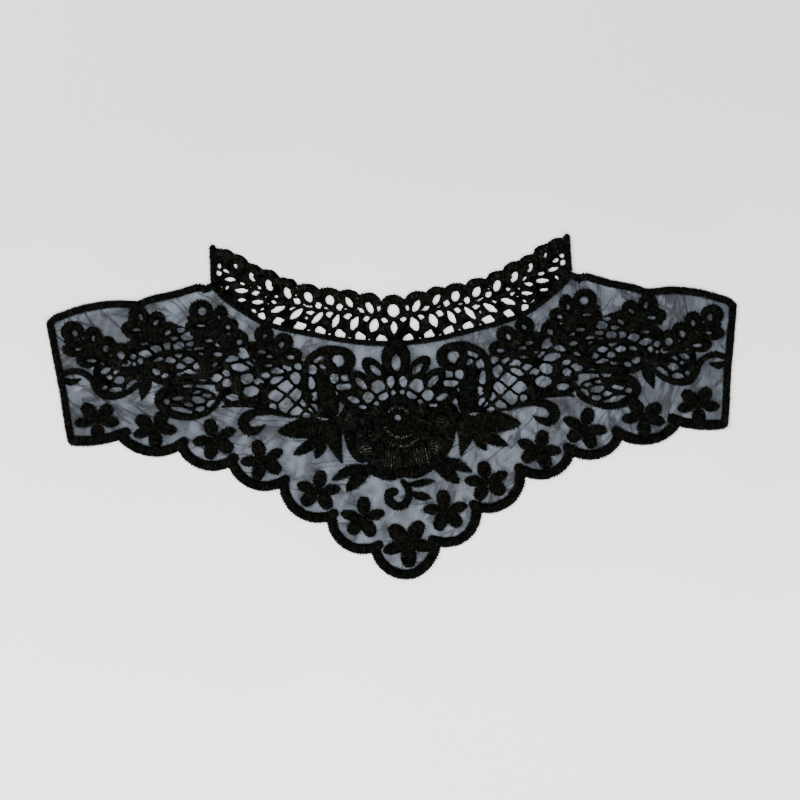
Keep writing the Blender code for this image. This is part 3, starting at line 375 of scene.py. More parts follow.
# Painted glints: the brightest crests are mixed towards grey.
glint = add(tree, "MapRange", {0: tone, 1: 1.1, 2: 2.6})
bright = add(tree, "Mix", {0: glint, 6: ink.outputs[2], 7: linear("777770")}, data_type="RGBA")
tree.links.new(bright.outputs[2], shader.inputs["Base Color"])
bump = add(tree, "Bump", {"Height": wave, "Strength": 0.9, "Distance": 0.00016})
tree.links.new(bump.outputs[0], shader.inputs["Normal"])


def arc(start, end, swell, inset, before, after):
    """Points on a scallop's arc, moved in by half its width and lengthened or shortened at its ends."""
    start, end = np.array(start), np.array(end)
    chord = end - start
    half = np.linalg.norm(chord) / 2
    radius = (half**2 + swell**2) / (2 * swell)
    outward = np.array([-chord[1], chord[0]]) / (2 * half)
    if outward[1] > 0:
        outward = -outward
    centre = (start + end) / 2 - outward * (radius - swell)
    a0 = math.atan2(*(start - centre)[::-1])
    a1 = math.atan2(*(end - centre)[::-1])
    if a1 > a0:
        a0, a1 = a0 + 2 * math.pi, a1
    if a0 - a1 > math.pi:
        a0 -= 2 * math.pi
    a0 += before / radius * (1 if a0 > a1 else -1)
    a1 -= after / radius * (1 if a0 > a1 else -1)
    angles = np.linspace(a0, a1, 11)
    reach = radius - inset
    return np.stack([centre[0] + reach * np.cos(angles), centre[1] + reach * np.sin(angles)], axis=1)


scallops = []
for (x0, y0, swell), (x1, y1, _) in zip(HEM_NOTCHES[:-1], HEM_NOTCHES[1:]):
    last = (x1, y1) == HEM_NOTCHES[-1][:2]
    scallops.append(arc((x0, y0), (x1, y1), swell, HEM_WIDTH / 2, 5.6, -3.2 if last else 1.2))
x, y, _ = HEM_NOTCHES[0]
centre_scallop = arc((-x, y), (x, y), CENTRE_SWELL, HEM_WIDTH / 2, 1.2, 1.2)
cord_rows = whole(NECK_CORD)

seams = [("neck_seam_cord", cord_rows, 1, NECK_CORD_WIDTH, CORD_HEIGHT)]
seams.append(("hem_scallop_centre", centre_scallop, 1, HEM_WIDTH, EDGE_HEIGHT))
for word, side in SIDES:
    seams.append((f"stand_end_bar_{word}", END_BAR, side, END_BAR_WIDTH, CORD_HEIGHT + 0.1))
    seams.append((f"wing_edge_{word}", WING_EDGE, side, WING_EDGE_WIDTH, EDGE_HEIGHT))
    seams.append((f"side_edge_{word}", SIDE_EDGE, side, SIDE_EDGE_WIDTH, EDGE_HEIGHT - 0.1))
    for k, rows in enumerate(scallops, 1):
        seams.append((f"hem_scallop_{k}_{word}", rows, side, HEM_WIDTH, EDGE_HEIGHT + 0.05 * (k % 2)))
for node, rows, side, width, height in seams:
    bm = bmesh.new()
    satin(bm, edges_of(rows, side, width), 0.0, height)
    sew(f"{node}_stitching", bm, rayon, node)

# The organza yoke
# One cut of black organza, crisp and sheer: plain-woven filament yarn that lets the table show
# through.  The dense embroidery draws it in, so it is crinkled between the motifs.
ORGANZA_STEP = 1.15
ORGANZA_REST = 0.55
ORGANZA_WALL = 0.10
CRINKLE = 0.42
FOLD_WAVES = (
    # length of a fold, how it leans and its share of the height
    (14.0, 0.5, 0.5),
    (8.2, -0.9, 0.3),
    (4.4, 1.7, 0.2),
)


def inside(x, y, ring):
    """Where a grid of points lies inside a closed outline."""
    within = np.zeros(x.shape, bool)
    for a, b in zip(ring, np.roll(ring, -1, axis=0)):
        crosses = (a[1] > y) != (b[1] > y)
        rise = b[1] - a[1] if b[1] != a[1] else 1.0
        within ^= crosses & (x < a[0] + (y - a[1]) * (b[0] - a[0]) / rise)
    return within


def stroke(x, y, rows, side=1, width=None):
    """How far each point is from the edge of a line of stitching: negative inside."""
    path = smooth(mirrored(rows, side, width), 1.2)
    spots = lay(path[:, :2])
    half = np.maximum(path[:, 2], 0.4) / 2
    field = np.full(x.shape, 9.0)
    for a, b, r, s in zip(spots[:-1], spots[1:], half[:-1], half[1:]):
        run = b - a
        t = np.clip(((x - a[0]) * run[0] + (y - a[1]) * run[1]) / max(run @ run, 1e-9), 0.0, 1.0)
        away = np.hypot(x - a[0] - t * run[0], y - a[1] - t * run[1]) - (r + (s - r) * t)
        field = np.minimum(field, away)
    return field


def region(x, y, outline, side=1):
    """How far each point is from the edge of a closed outline: negative inside."""
    rows = mirrored(outline, side)
    edge = stroke(x, y, np.vstack([rows, rows[:1]]), 1, 0.4) + 0.2
    return np.where(inside(x, y, lay(rows)), -np.maximum(edge, 0.0), edge)


def plate(bm, shape, low, high, step, height):
    """Cuts a flat piece out of a fine grid along the zero line of its shape, and raises it by its height."""
    nx, ny = (int((b - a) / step) for a, b in zip(low, high))
    x, y = np.meshgrid(low[0] + step * np.arange(nx + 1), low[1] + step * np.arange(ny + 1))
    field = shape(x, y)
    slope_y, slope_x = np.gradient(field, step)
    steep = np.maximum(slope_x**2 + slope_y**2, 0.3)
    shift = np.where(field < 0.0, 0.0, np.minimum(field / steep, 1.5 * step))
    x, y = x - slope_x * shift, y - slope_y * shift
    places = np.stack([x, y, height(x, y, np.maximum(-field, 0.0))], axis=-1).reshape(-1, 3) * MM
    grid = bmesh.ops.create_grid(bm, x_segments=nx, y_segments=ny, size=1.0)["verts"]
    uv = bm.loops.layers.uv.verify()
    for vert, spot, within in zip(grid, places, (field < 0.0).ravel()):
        vert.co = spot
        vert.tag = bool(within)
    gone = [face for face in bm.faces if not any(vert.tag for vert in face.verts)]
    bmesh.ops.delete(bm, geom=gone, context="FACES")
    for face in bm.faces:
        for loop in face.loops:
            loop[uv].uv = (loop.vert.co.x / MM, loop.vert.co.y / MM)


def thicken(bm, wall):
    """Gives a cut piece its wall: a copy of it is lifted, and the edges between are closed."""
    lifted = bmesh.ops.extrude_face_region(bm, geom=bm.faces[:], use_keep_orig=True)["geom"]
    lifted = [part for part in lifted if isinstance(part, bmesh.types.BMVert)]
    bmesh.ops.translate(bm, verts=lifted, vec=(0.0, 0.0, wall))


def corners_of(node, margin):
    """The two corners of a node's box from above, in millimetres, with a margin round it."""
    return [np.array(corner[:2]) / MM + shift for corner, shift in zip(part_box(node), (-margin, margin))]


def crinkles(x, y, depth):
    """The organza's height: small folds across the collar, flat where the stitching holds it."""
    folds = np.zeros(x.shape)
    for length, lean, share in FOLD_WAVES:
        drift = 2.2 * np.sin(y / 11.0 + x / 17.0 + lean)
        folds += share * np.sin((x + lean * y + drift * 3.0) * 2 * math.pi / length)
    return ORGANZA_REST + CRINKLE * folds * ease(depth / 3.0)


left = np.vstack([WING_EDGE[::-1], SIDE_EDGE, *(rows[::-1] for rows in scallops[::-1])])
rim = np.vstack([cord_rows[::-1], left, centre_scallop[::-1], mirrored(left[::-1], -1)])

# Organza: silk-like filament cloth.  The eye gets a sheer blue-grey veil, lighter and darker in soft streaks
# and darker towards the wings, with painted shade for the darker lines where it folds, and a weave of 0.35 mm
# that is drawn a little coarser than life so that it shows.  The folds run out from a place above the neck.
WEAVE = 0.42
FOLDS_FROM = 0.13
CREASES = (
    # turn, scale, thinness and drawn-out shape of each set of creases
    (0.4, 50.0, 0.044, (0.6, 2.0, 1.0)),
    (-0.3, 70.0, 0.050, (2.0, 0.6, 1.0)),
)
organza, tree, shader = finish("black_crinkled_organza", 0.45, 0.3)
place = add(tree, "TexCoord", {}).outputs["Object"]
axes = add(tree, "SeparateXYZ", {0: place})
yarns = []
for k in (0, 1):
    turns = add(tree, "Math", {0: axes.outputs[k], 1: 2 * math.pi / (WEAVE * MM)}, operation="MULTIPLY")
    yarns.append(add(tree, "Math", {0: turns}, operation="COSINE"))
weave = add(tree, "Math", {0: yarns[0], 1: yarns[1]}, operation="ADD")
across = add(tree, "Math", {0: FOLDS_FROM, 1: axes.outputs[1]}, operation="SUBTRACT")
turn = add(tree, "Math", {0: axes, 1: across}, operation="ARCTAN2")
round_neck = add(tree, "Math", {0: turn, 1: FOLDS_FROM}, operation="MULTIPLY")
outward = add(tree, "VectorMath", {0: place, 1: (0.0, FOLDS_FROM, 0.0)}, operation="DISTANCE")
fan = add(tree, "CombineXYZ", {0: round_neck, 1: outward.outputs[1]})
drawn = add(tree, "Mapping", {0: fan, "Scale": (0.7, 1.5, 1.0)}, vector_type="TEXTURE")
cloud = add(tree, "TexNoise", {0: drawn, "Scale": 90.0, "Detail": 2.0, "Distortion": 0.6})
far = add(tree, "Math", {0: axes}, operation="ABSOLUTE")
pull = add(tree, "MapRange", {0: far, 1: 0.04, 2: 0.14, 3: 0.0, 4: 0.12})
dull = add(tree, "Math", {0: cloud, 1: pull}, operation="SUBTRACT")
cloudy = add(tree, "MapRange", {0: dull, 1: 0.34, 2: 0.60})
creases = []
for turn, scale, thin_at, shape in CREASES:
    sizes = {"Rotation": (0.0, 0.0, turn), "Scale": shape}
    turned = add(tree, "Mapping", {0: fan, **sizes}, vector_type="TEXTURE")
    wrinkle = add(tree, "TexNoise", {0: turned, "Scale": scale, "Detail": 4.0, "Distortion": 0.5})
    middle = add(tree, "Math", {0: wrinkle, 1: 0.5}, operation="SUBTRACT")
    away = add(tree, "Math", {0: middle}, operation="ABSOLUTE")
    creases.append(add(tree, "MapRange", {0: away, 1: 0.0, 2: thin_at, 3: 1.0, 4: 0.0}))
both_ways = add(tree, "Math", {0: creases[0], 1: creases[1]}, operation="MAXIMUM")
patch = add(tree, "TexNoise", {0: place, "Scale": 46.0, "Detail": 1.0})
pulled = add(tree, "Math", {0: patch, 1: pull}, operation="ADD")
patchy = add(tree, "MapRange", {0: pulled, 1: 0.42, 2: 0.56})
fold = add(tree, "Math", {0: both_ways, 1: patchy}, operation="MULTIPLY")
veil = add(tree, "Mix", {0: cloudy, 6: linear("2c323a"), 7: linear("575f68")}, data_type="RGBA")
# Painted shade in the creases: the veil's colour goes towards near black there, and the cloth is made less
# sheer.
crease_shade = add(tree, "Math", {0: fold, 1: 0.95}, operation="MULTIPLY")
veil_with_crease_shade = add(tree, "Mix", {0: crease_shade, 6: veil.outputs[2], 7: linear("101216")}, data_type="RGBA")
tree.links.new(veil_with_crease_shade.outputs[2], shader.inputs["Base Color"])
thin = add(tree, "MapRange", {0: fold, 1: 0.0, 2: 1.0, 3: 0.66, 4: 0.93})
woven = add(tree, "Math", {0: weave, 1: 0.03, 2: thin}, operation="MULTIPLY_ADD")
tree.links.new(woven.outputs[0], shader.inputs["Alpha"])
bump = add(tree, "Bump", {"Height": both_ways, "Strength": 0.6, "Distance": 0.0006})
tree.links.new(bump.outputs[0], shader.inputs["Normal"])

bm = bmesh.new()
low, high = corners_of("organza_yoke", 2.0)
plate(bm, lambda x, y: region(x, y, rim), low, high, ORGANZA_STEP, crinkles)
organza_area = sum(face.calc_area() for face in bm.faces)
thicken(bm, ORGANZA_WALL * MM)
yoke = sew("organza_yoke_cloth", bm, organza, "organza_yoke")
size = (high - low) * MM

# The lace stand
# Free lace round the neck, stitched on a ground that is washed away: looped scallops along the top,
# a stem with leaf-shaped eyes, and threads between them.  It is open to the table.
LACE_STEP = 0.42
LACE_WALL = 0.2
STAND_BAR = 1.5
STAND_GROWTH = -0.1
STAND_FLOOR = 0.1
WAVER = 0.14
WAVES = (
    # the lengths of the waves that shift a place to its side, then those along: short, how far it
    # bows and how long the bow is, two that cross, and the fine one
    (0.83, 1.9, 1.7, 2.3, 3.1, 0.33),
    (0.91, 1.7, 1.9, 2.6, -2.9, 0.31),
)
STEM_WIDTH = 1.3
DROP_POWER = 1.8
LEAF_POWER = 1.45
CORNER_POWER = 1.25
CORNER_DIP = 0.4
CORNER_SPREAD = (1.1, 2.2)
CORD_SLOPE = (0.27, 42.0)
STAND_RISE = 1.3
ROUNDING = 0.8
STAND_DROPS = (
    # x, y of the upper drop-shaped gap, y of the scallop's crest, gap width, gap height and tilt
    (0.0, 57.5, 66.3, 6.8, 7.0, 0),
    (-12.7, 59.4, 67.8, 3.8, 7.0, 28),
    (-23.9, 62.8, 69.8, 3.2, 6.6, 28),
    (-34.4, 64.2, 71.4, 4.6, 6.0, 20),
    (-46.0, 66.2, 73.7, 4.4, 6.2, 28),
    (-57.3, 69.0, 77.2, 3.8, 6.6, 18),
    (-67.1, 73.5, 82.0, 3.8, 6.6, 20),
    (-75.9, 78.4, 85.6, 3.2, 5.4, 25),
    (-84.3, 84.0, 91.1, 2.0, 5.0, 28),
    (-91.6, 88.2, 94.4, 1.2, 4.2, 10),
)
CREST_WIDTH = 12.6
STAND_END = 96.6
STAND_LEAVES = (
    # x, y of the lower leaf-shaped gap, its length, width and tilt
    (0.0, 48.0, 7.4, 3.6, 90),
    (-11.1, 49.6, 8.2, 5.2, 68),
    (-21.5, 51.3, 8.4, 4.4, 63),
    (-31.7, 52.9, 8.4, 3.9, 62),
    (-41.6, 54.8, 9.0, 3.6, 47),
    (-53.0, 57.3, 9.4, 3.6, 35),
    (-63.1, 60.3, 9.0, 3.2, 20),
    (-73.5, 64.6, 7.2, 2.5, 1),
    (-82.3, 71.2, 7.8, 2.9, -3),
    (-88.4, 77.4, 6.2, 2.7, -10),
)
STAND_STEM = (
    # x, y of the stem that the stand's leaves grow from
    (-92.0, 80.0), (-86.0, 79.6), (-80.0, 76.6), (-77.5, 74.4), (-73.0, 71.0), (-68.0, 68.2), (-64.4, 65.9),
    (-60.0, 64.0), (-54.0, 62.1), (-47.0, 60.3), (-42.0, 59.3), (-36.0, 58.7), (-30.0, 58.0), (-25.0, 57.4),
    (-15.0, 56.0), (-7.0, 54.8), (0.0, 53.0),
)
STAND_CORNERS = (
    # x, y of the three-cornered gap, its width, height and tilt
    (-7.4, 42.6, 6.4, 4.4, 12),
    (-18.9, 44.2, 6.6, 4.8, 15),
    (-29.6, 46.0, 6.2, 4.6, 20),
    (-40.4, 48.1, 7.0, 4.4, 15),
    (-51.8, 51.3, 7.8, 3.8, 15),
    (-62.9, 54.6, 6.2, 3.2, 15),
    (-72.0, 57.6, 4.2, 2.4, -35),
    (-82.5, 66.1, 5.2, 2.2, -4),
    (-52.4, 64.4, 4.6, 3.4, -35),
    (-40.7, 61.7, 3.6, 4.4, 15),
    (-29.2, 60.3, 3.6, 4.4, 10),
    (-17.6, 58.1, 5.0, 2.3, -25),
    (-8.0, 59.0, 2.4, 4.8, 0),
    (-5.0, 52.3, 4.0, 2.6, -10),
    (-14.7, 53.5, 4.4, 3.2, 5),
    (-25.0, 55.0, 4.8, 3.6, 5),
    (-34.7, 56.5, 4.2, 3.4, 5),
    (-45.1, 57.8, 5.0, 2.5, -8),
    (-54.7, 60.4, 5.0, 2.0, 8),
    (-46.8, 61.8, 5.8, 1.8, -12),
    (-36.0, 60.0, 5.0, 1.6, -2),
    (-24.8, 58.9, 4.4, 1.6, -8),
    (-74.8, 69.4, 4.6, 2.5, 5),
    (-90.4, 82.2, 4.4, 1.9, -28),
    (-90.4, 72.6, 4.8, 1.7, 45),
)
STAND_SMALL_GAPS = (
    # x, y, width, height and tilt of each gap that is narrower than 4 mm
    (-52.8, 67.9, 1.5, 2.0, 0), (-63.0, 67.0, 3.2, 2.2, -10), (-69.2, 67.2, 1.8, 1.3, 0),
    (-65.4, 64.2, 3.8, 1.9, -20), (-58.6, 65.0, 5.0, 0.9, -28), (-68.0, 63.3, 2.4, 1.3, 20),
    (-72.5, 72.4, 3.2, 1.8, -35), (-77.5, 72.8, 3.4, 1.0, -30), (-81.9, 74.9, 3.8, 1.9, -12),
    (-92.5, 73.4, 1.8, 1.3, 40), (-94.2, 81.0, 3.0, 3.4, 30), (-93.5, 84.7, 3.0, 3.0, 0),
    (-76.2, 59.9, 4.0, 1.7, -30), (-71.9, 60.6, 3.2, 1.4, 20), (-58.6, 58.8, 2.2, 1.1, 45),
    (-60.2, 52.1, 2.6, 1.1, -20), (-47.6, 55.2, 2.2, 1.6, 20), (-47.4, 48.4, 4.0, 1.5, -15),
    (-35.8, 45.7, 3.8, 1.2, -15), (-25.4, 43.7, 3.6, 1.4, -8), (-26.9, 51.7, 1.0, 1.8, 0),
    (-14.1, 41.9, 3.6, 1.1, -5), (-67.5, 69.5, 3.2, 0.9, -30), (-7.2, 55.4, 3.6, 0.9, -5),
    (-83.7, 88.9, 1.6, 1.1, -40),
)
BAND = ((-5.6, -6.4, 2.0), (-4.4, -3.4, 3.4), (0.0, -2.1, 4.2), (4.4, -3.4, 3.4), (5.6, -6.4, 2.0))


def oval(x, y, row, side=1, power=2.0):
    """How far each point is from the edge of an oval: negative inside.  A power near 1 makes a lozenge."""
    cx, cy, width, height, tilt = row if len(row) == 5 else (*row, 0.0)
    middle = lay([(side * cx, cy)])[0]
    turn = math.radians(side * tilt)
    u = (x - middle[0]) * math.cos(turn) + (y - middle[1]) * math.sin(turn)
    v = (y - middle[1]) * math.cos(turn) - (x - middle[0]) * math.sin(turn)
    a, b = width / 2, height / 2
    reach = (np.abs(u / a) ** power + np.abs(v / b) ** power) ** (1 / power)
    slope = np.maximum(np.hypot(u / a**2, v / b**2), 1e-6) / np.maximum(np.hypot(u / a, v / b), 1e-6)
    return (reach - 1.0) / slope


def both(rows):
    """Each row for the left half and again for the right half, without doubling the middle."""
    return [(row, side) for row in rows for side in ((1, -1) if row[0] != 0.0 else (1,))]


def ring_edges(hole, loop, side=1, stitch=STITCH):
    """The inner and outer edge of a ring of satin stitch round a hole, anticlockwise."""
    rims = []
    for cx, cy, width, height, tilt in (hole, loop):
        count = 2 * int(math.pi * (loop[2] + loop[3]) / 2 / stitch / 0.9)
        turn = math.radians(side * tilt)
        angle = np.linspace(0.0, 2 * math.pi, count + 1) - turn
        u, v = width / 2 * np.cos(angle), height / 2 * np.sin(angle)
        middle = lay([(side * cx, cy)])[0]
        x = middle[0] + u * math.cos(turn) - v * math.sin(turn)
        y = middle[1] + u * math.sin(turn) + v * math.cos(turn)
        rims.append(np.stack([x, y], axis=1))
    return rims


def waver(x, y):
    """Shifts places a little, so that the gaps between threads come out uneven."""
    moved = []
    for (u, v), (short, bow, bend, cross, slant, fine) in zip(((x, y), (y, x)), WAVES):
        wave = np.sin(u / short + bow * np.sin(v / bend)) + np.sin(v / cross + u / slant)
        moved.append(u + WAVER * (wave + 0.6 * np.sin(v / fine)))
    return moved


def net(body, gaps, bar, growth):
    """Opens each gap of a net wider, until bars of thread are left between it and its neighbours."""
    nearest = np.partition(np.stack(gaps), 1, axis=0)[:2]
    opening = np.maximum(nearest[0] - growth, (nearest[0] - nearest[1] + bar) / 2)
    return np.maximum(body, -np.maximum(opening, body + bar))


def stand_shape(x, y):
    """The stand: scallops over a strip, with its eyes cut out."""
    x, y = waver(x, y)
    top = [(x, (y + crest) / 2) for x, y, crest, *_ in STAND_DROPS[::-1]]
    body = region(x, y, [(-STAND_END, 90.0), *whole(top), (STAND_END, 90.0)] + cord_rows[::-1])
    for (cx, cy, crest, *_), side in both(STAND_DROPS):
        body = np.minimum(body, oval(x, y, (cx, (cy + crest) / 2 - 2.0, CREST_WIDTH, crest - cy + 4.0), side))
    body = np.maximum(body, region(x, y, [(-STAND_END, 99.0), (STAND_END, 99.0)] + cord_rows[::-1]))
    gaps = [oval(x, y, (*row[:2], *row[3:]), side, DROP_POWER) for row, side in both(STAND_DROPS)]
    gaps += [oval(x, y, row, side, LEAF_POWER) for row, side in both(STAND_LEAVES + STAND_SMALL_GAPS)]
    wider, taller = CORNER_SPREAD
    for (cx, cy, width, height, tilt), side in both(STAND_CORNERS):
        dip = CORNER_DIP * height if cy < CORD_SLOPE[0] * abs(cx) + CORD_SLOPE[1] else 0.0
        corner = (cx, cy - dip, wider * width, height + taller * dip, tilt)
        gaps.append(oval(x, y, corner, side, CORNER_POWER))
    return net(body, gaps, STAND_BAR, STAND_GROWTH)


# Lace thread: the same rayon, wrapped and crossed in every direction, so it is dull and knotty.  Its
# bumps are the 0.5 mm turns of the wrapping.
lace_thread, tree, shader = finish("black_rayon_lace_thread", 0.6, 0.01)
place = add(tree, "TexCoord", {}).outputs["Object"]
knots = add(tree, "TexNoise", {"Vector": place, "Scale": 1500.0, "Detail": 3.0})
fuzz = add(tree, "TexNoise", {"Vector": place, "Scale": 220.0, "Detail": 4.0})
turns = add(tree, "Mapping", {0: place, "Rotation": (0.0, 0.0, 0.8), "Scale": (1.0, 0.25, 1.0)})
wrap = add(tree, "TexNoise", {0: turns, "Scale": 1700.0, "Detail": 1.0})
relief = add(tree, "Math", {0: knots, 1: wrap}, operation="ADD")
both_scales = add(tree, "Math", {0: fuzz, 1: wrap}, operation="MULTIPLY")
tone = add(tree, "MapRange", {0: both_scales, 1: 0.22, 2: 0.42})
ink = add(tree, "Mix", {0: tone, 6: linear("000000"), 7: linear("151612")}, data_type="RGBA")
tree.links.new(ink.outputs[2], shader.inputs["Base Color"])
bump = add(tree, "Bump", {"Height": relief, "Strength": 0.9, "Distance": 0.0004})
tree.links.new(bump.outputs[0], shader.inputs["Normal"])


def ground(name, node, shape, corners, bottom, rise, step=LACE_STEP):
    """Sews on a ground of lace thread: its bars are round and its wide places are flat."""
    bm = bmesh.new()

    def height(x, y, depth):
        return bottom + rise * np.sqrt(1.0 - (1.0 - np.minimum(depth / ROUNDING, 1.0)) ** 2)

    plate(bm, shape, *corners, step, height)
    thicken(bm, LACE_WALL * MM)
    sew(name, bm, lace_thread, node)


corners = corners_of("lace_stand", 2.0)
ground("lace_stand_ground", "lace_stand", stand_shape, corners, STAND_FLOOR, STAND_RISE)
bm = bmesh.new()
crests = np.array([row[:3:2] for row in STAND_DROPS])
falls = np.arctan(np.gradient(crests[:, 1], crests[:, 0])) * (crests[:, 0] < 0.0)
for (x, y, crest, width, height, tilt), fall in zip(STAND_DROPS, falls):
    turn = np.array([[math.cos(fall), -math.sin(fall)], [math.sin(fall), math.cos(fall)]])
    band = np.array(BAND)
    band[:, :2] = (band[:, :2] * (min(1.0, (STAND_END - abs(x)) / 6.6), 1.0)) @ turn.T + (x, crest)
    hole, loop = (x, y, width, height, tilt), (x, y, width + 3.8, height + 3.6, tilt)
    for side in (1, -1) if x else (1,):
        satin(bm, edges_of(band, side), 0.5, 1.5, shine=1.3)
        satin(bm, ring_edges(hole, loop, side), 0.6, 1.2, closed=True)
for (x, y, length, width, tilt), side in both(STAND_LEAVES):
    eye, rim = (x, y, length, width, tilt), (x, y, length + 3.4, width + 3.2, tilt)
    satin(bm, ring_edges(eye, rim, side), 0.5, 1.3, closed=True)
satin(bm, edges_of(whole(STAND_STEM), 1, STEM_WIDTH), 0.8, 1.3, shine=1.3)
sew("lace_stand_loops", bm, rayon, "lace_stand")

# The wing lace
# On each wing the looped petals, scrolls and leaves stand close together in satin stitch, and a net
# of thread bars joins them.  The net stands just clear of the organza.
LACE_FLOOR = 0.9
LACE_RISE = 0.8
NET_BAR = 1.5
NET_GROWTH = 0.5
LATTICE_BAR = 1.6
LATTICE_GROWTH = 0.9
LATTICE_FROM = -71.0
NET_POWER = 1.6
LATTICE_POWER = 1.3
SEAM = 0.3
MOTIF_FLOOR = 1.3
EYELETS = (
    # x, y, width and height of the looped petal, then x, y, width, height and tilt of its hole
    (-175.8, 51.8, 12.6, 11.6, -174.4, 50.7, 2.4, 3.6, 20),
    (-164.7, 48.6, 9.8, 11.2, -164.7, 47.6, 1.8, 3.4, 0),
    (-157.0, 43.6, 9.8, 10.2, -158.0, 42.0, 2.6, 3.4, 0),
    (-150.2, 39.5, 10.4, 10.4, -150.0, 38.0, 3.8, 4.0, 0),
    (-175.7, 42.1, 12.4, 8.4, -173.3, 42.1, 3.6, 1.3, 0),
    (-168.6, 36.0, 11.8, 8.8, -166.3, 35.5, 5.0, 1.5, 0),
    (-139.3, 58.8, 11.0, 12.2, -138.2, 58.4, 1.8, 4.0, 20),
    (-129.5, 56.0, 9.8, 10.8, -130.0, 55.2, 3.4, 1.6, 40),
    (-143.2, 52.4, 11.8, 8.8, -140.8, 51.5, 4.2, 1.4, 0),
    (-123.0, 51.0, 8.6, 8.6, -123.7, 49.4, 3.6, 1.6, 35),
    (-139.3, 44.2, 11.2, 7.4, -137.0, 43.8, 4.5, 1.0, 0),
    (-105.0, 60.7, 13.2, 12.4, -104.4, 60.4, 4.3, 4.1, 0),
    (-94.4, 57.8, 8.2, 11.4, -95.8, 56.1, 1.4, 3.6, -15),
    (-107.2, 52.6, 13.8, 8.0, -105.4, 52.6, 5.0, 1.0, 0),
    (-90.0, 52.2, 10.2, 8.2, -90.7, 51.2, 2.2, 1.8, 0),
    (-85.2, 44.4, 10.6, 9.4, -85.0, 42.9, 3.0, 2.4, 30),
    (-104.2, 44.6, 12.2, 8.2, -101.6, 44.4, 4.6, 1.6, 0),
    (-71.3, 46.4, 10.8, 11.0, -70.6, 45.2, 2.0, 3.8, 20),
    (-60.8, 42.2, 10.8, 10.0, -62.2, 40.7, 1.9, 3.8, -35),
    (-56.2, 34.6, 10.4, 9.0, -57.7, 33.2, 4.8, 2.2, 20),
    (-74.7, 38.0, 9.4, 7.2, -73.2, 37.2, 4.2, 1.6, -5),
    (-71.6, 29.6, 10.4, 6.6, -69.9, 29.6, 4.4, 1.2, 0),
)
NET_OUTLINE = (
    # x, y round the net that fills the wing between the looped petals and the scrolls
    (-165.6, 30.0), (-162.0, 39.0), (-150.0, 42.0), (-143.0, 47.0), (-132.0, 51.0), (-119.0, 54.0),
    (-112.0, 50.5), (-98.0, 50.0), (-88.0, 46.0), (-79.0, 43.0), (-70.0, 42.0), (-60.0, 37.0),
    (-50.5, 31.0), (-50.5, 12.0), (-45.0, 4.0), (-38.0, 0.4), (-58.0, 0.4), (-66.0, 3.0),
    (-76.0, 6.5), (-94.0, 8.2), (-97.6, 13.0), (-100.0, 20.0), (-118.0, 20.6), (-127.0, 21.4),
    (-134.0, 23.6), (-140.0, 25.0), (-144.0, 19.0), (-152.0, 15.0), (-161.0, 16.5), (-165.0, 22.0),
)
NET_GAPS = (
    # x, y, width, height and tilt of each gap of the net that is wider than 4 mm
    (-147.0, 33.3, 4.8, 2.8, 15),
    (-158.6, 29.8, 5.2, 2.0, 20),
    (-151.8, 24.4, 5.4, 4.0, 15),
    (-153.6, 19.2, 7.2, 2.0, 5),
    (-144.6, 21.8, 9.4, 3.0, 30),
    (-120.7, 45.9, 5.4, 1.9, 0),
    (-116.2, 50.7, 4.4, 2.4, 0),
    (-113.0, 47.2, 7.4, 4.6, 10),
    (-124.4, 42.7, 3.8, 4.8, 20),
    (-118.5, 42.2, 6.2, 4.2, 0),
    (-111.7, 42.8, 4.6, 2.6, 10),
    (-130.6, 40.8, 6.0, 3.4, 0),
    (-136.7, 38.2, 6.8, 3.4, 0),
    (-129.6, 35.0, 5.2, 1.9, 5),
    (-123.3, 34.4, 6.0, 2.4, -5),
    (-113.3, 34.0, 6.0, 2.8, -10),
    (-117.8, 30.9, 5.2, 3.0, -15),
    (-113.0, 27.6, 7.6, 1.8, -5),
    (-131.0, 28.0, 4.8, 2.2, -30),
    (-120.5, 13.5, 6.2, 1.7, 5),
    (-114.4, 9.7, 4.8, 2.2, -20),
    (-118.4, 7.0, 11.5, 1.9, -14),
    (-109.0, 12.2, 7.0, 3.6, -5),
    (-108.3, 7.4, 5.6, 2.6, 10),
    (-101.7, 10.2, 6.4, 2.9, 35),
    (-97.9, 15.3, 5.6, 2.2, 40),
    (-110.0, 16.4, 4.4, 1.9, -10),
    (-98.4, 23.8, 5.8, 3.2, 10),
    (-93.3, 20.8, 4.8, 4.0, -15),
    (-97.1, 36.7, 4.4, 2.0, -5),
    (-89.4, 34.0, 8.0, 2.4, 10),
    (-83.7, 36.7, 8.0, 4.8, -35),
    (-85.0, 29.2, 9.2, 3.6, -12),
    (-81.7, 22.9, 7.2, 5.2, 10),
    (-75.8, 21.2, 5.4, 3.0, -15),
    (-79.9, 16.0, 8.2, 5.6, 0),
    (-89.6, 12.8, 8.0, 2.6, -8),
    (-71.5, 24.2, 4.6, 2.8, -10),
    (-64.8, 26.2, 6.4, 3.0, 0),
    (-65.4, 22.0, 7.0, 3.0, 20),
    (-60.0, 28.3, 4.4, 2.2, -10),
)
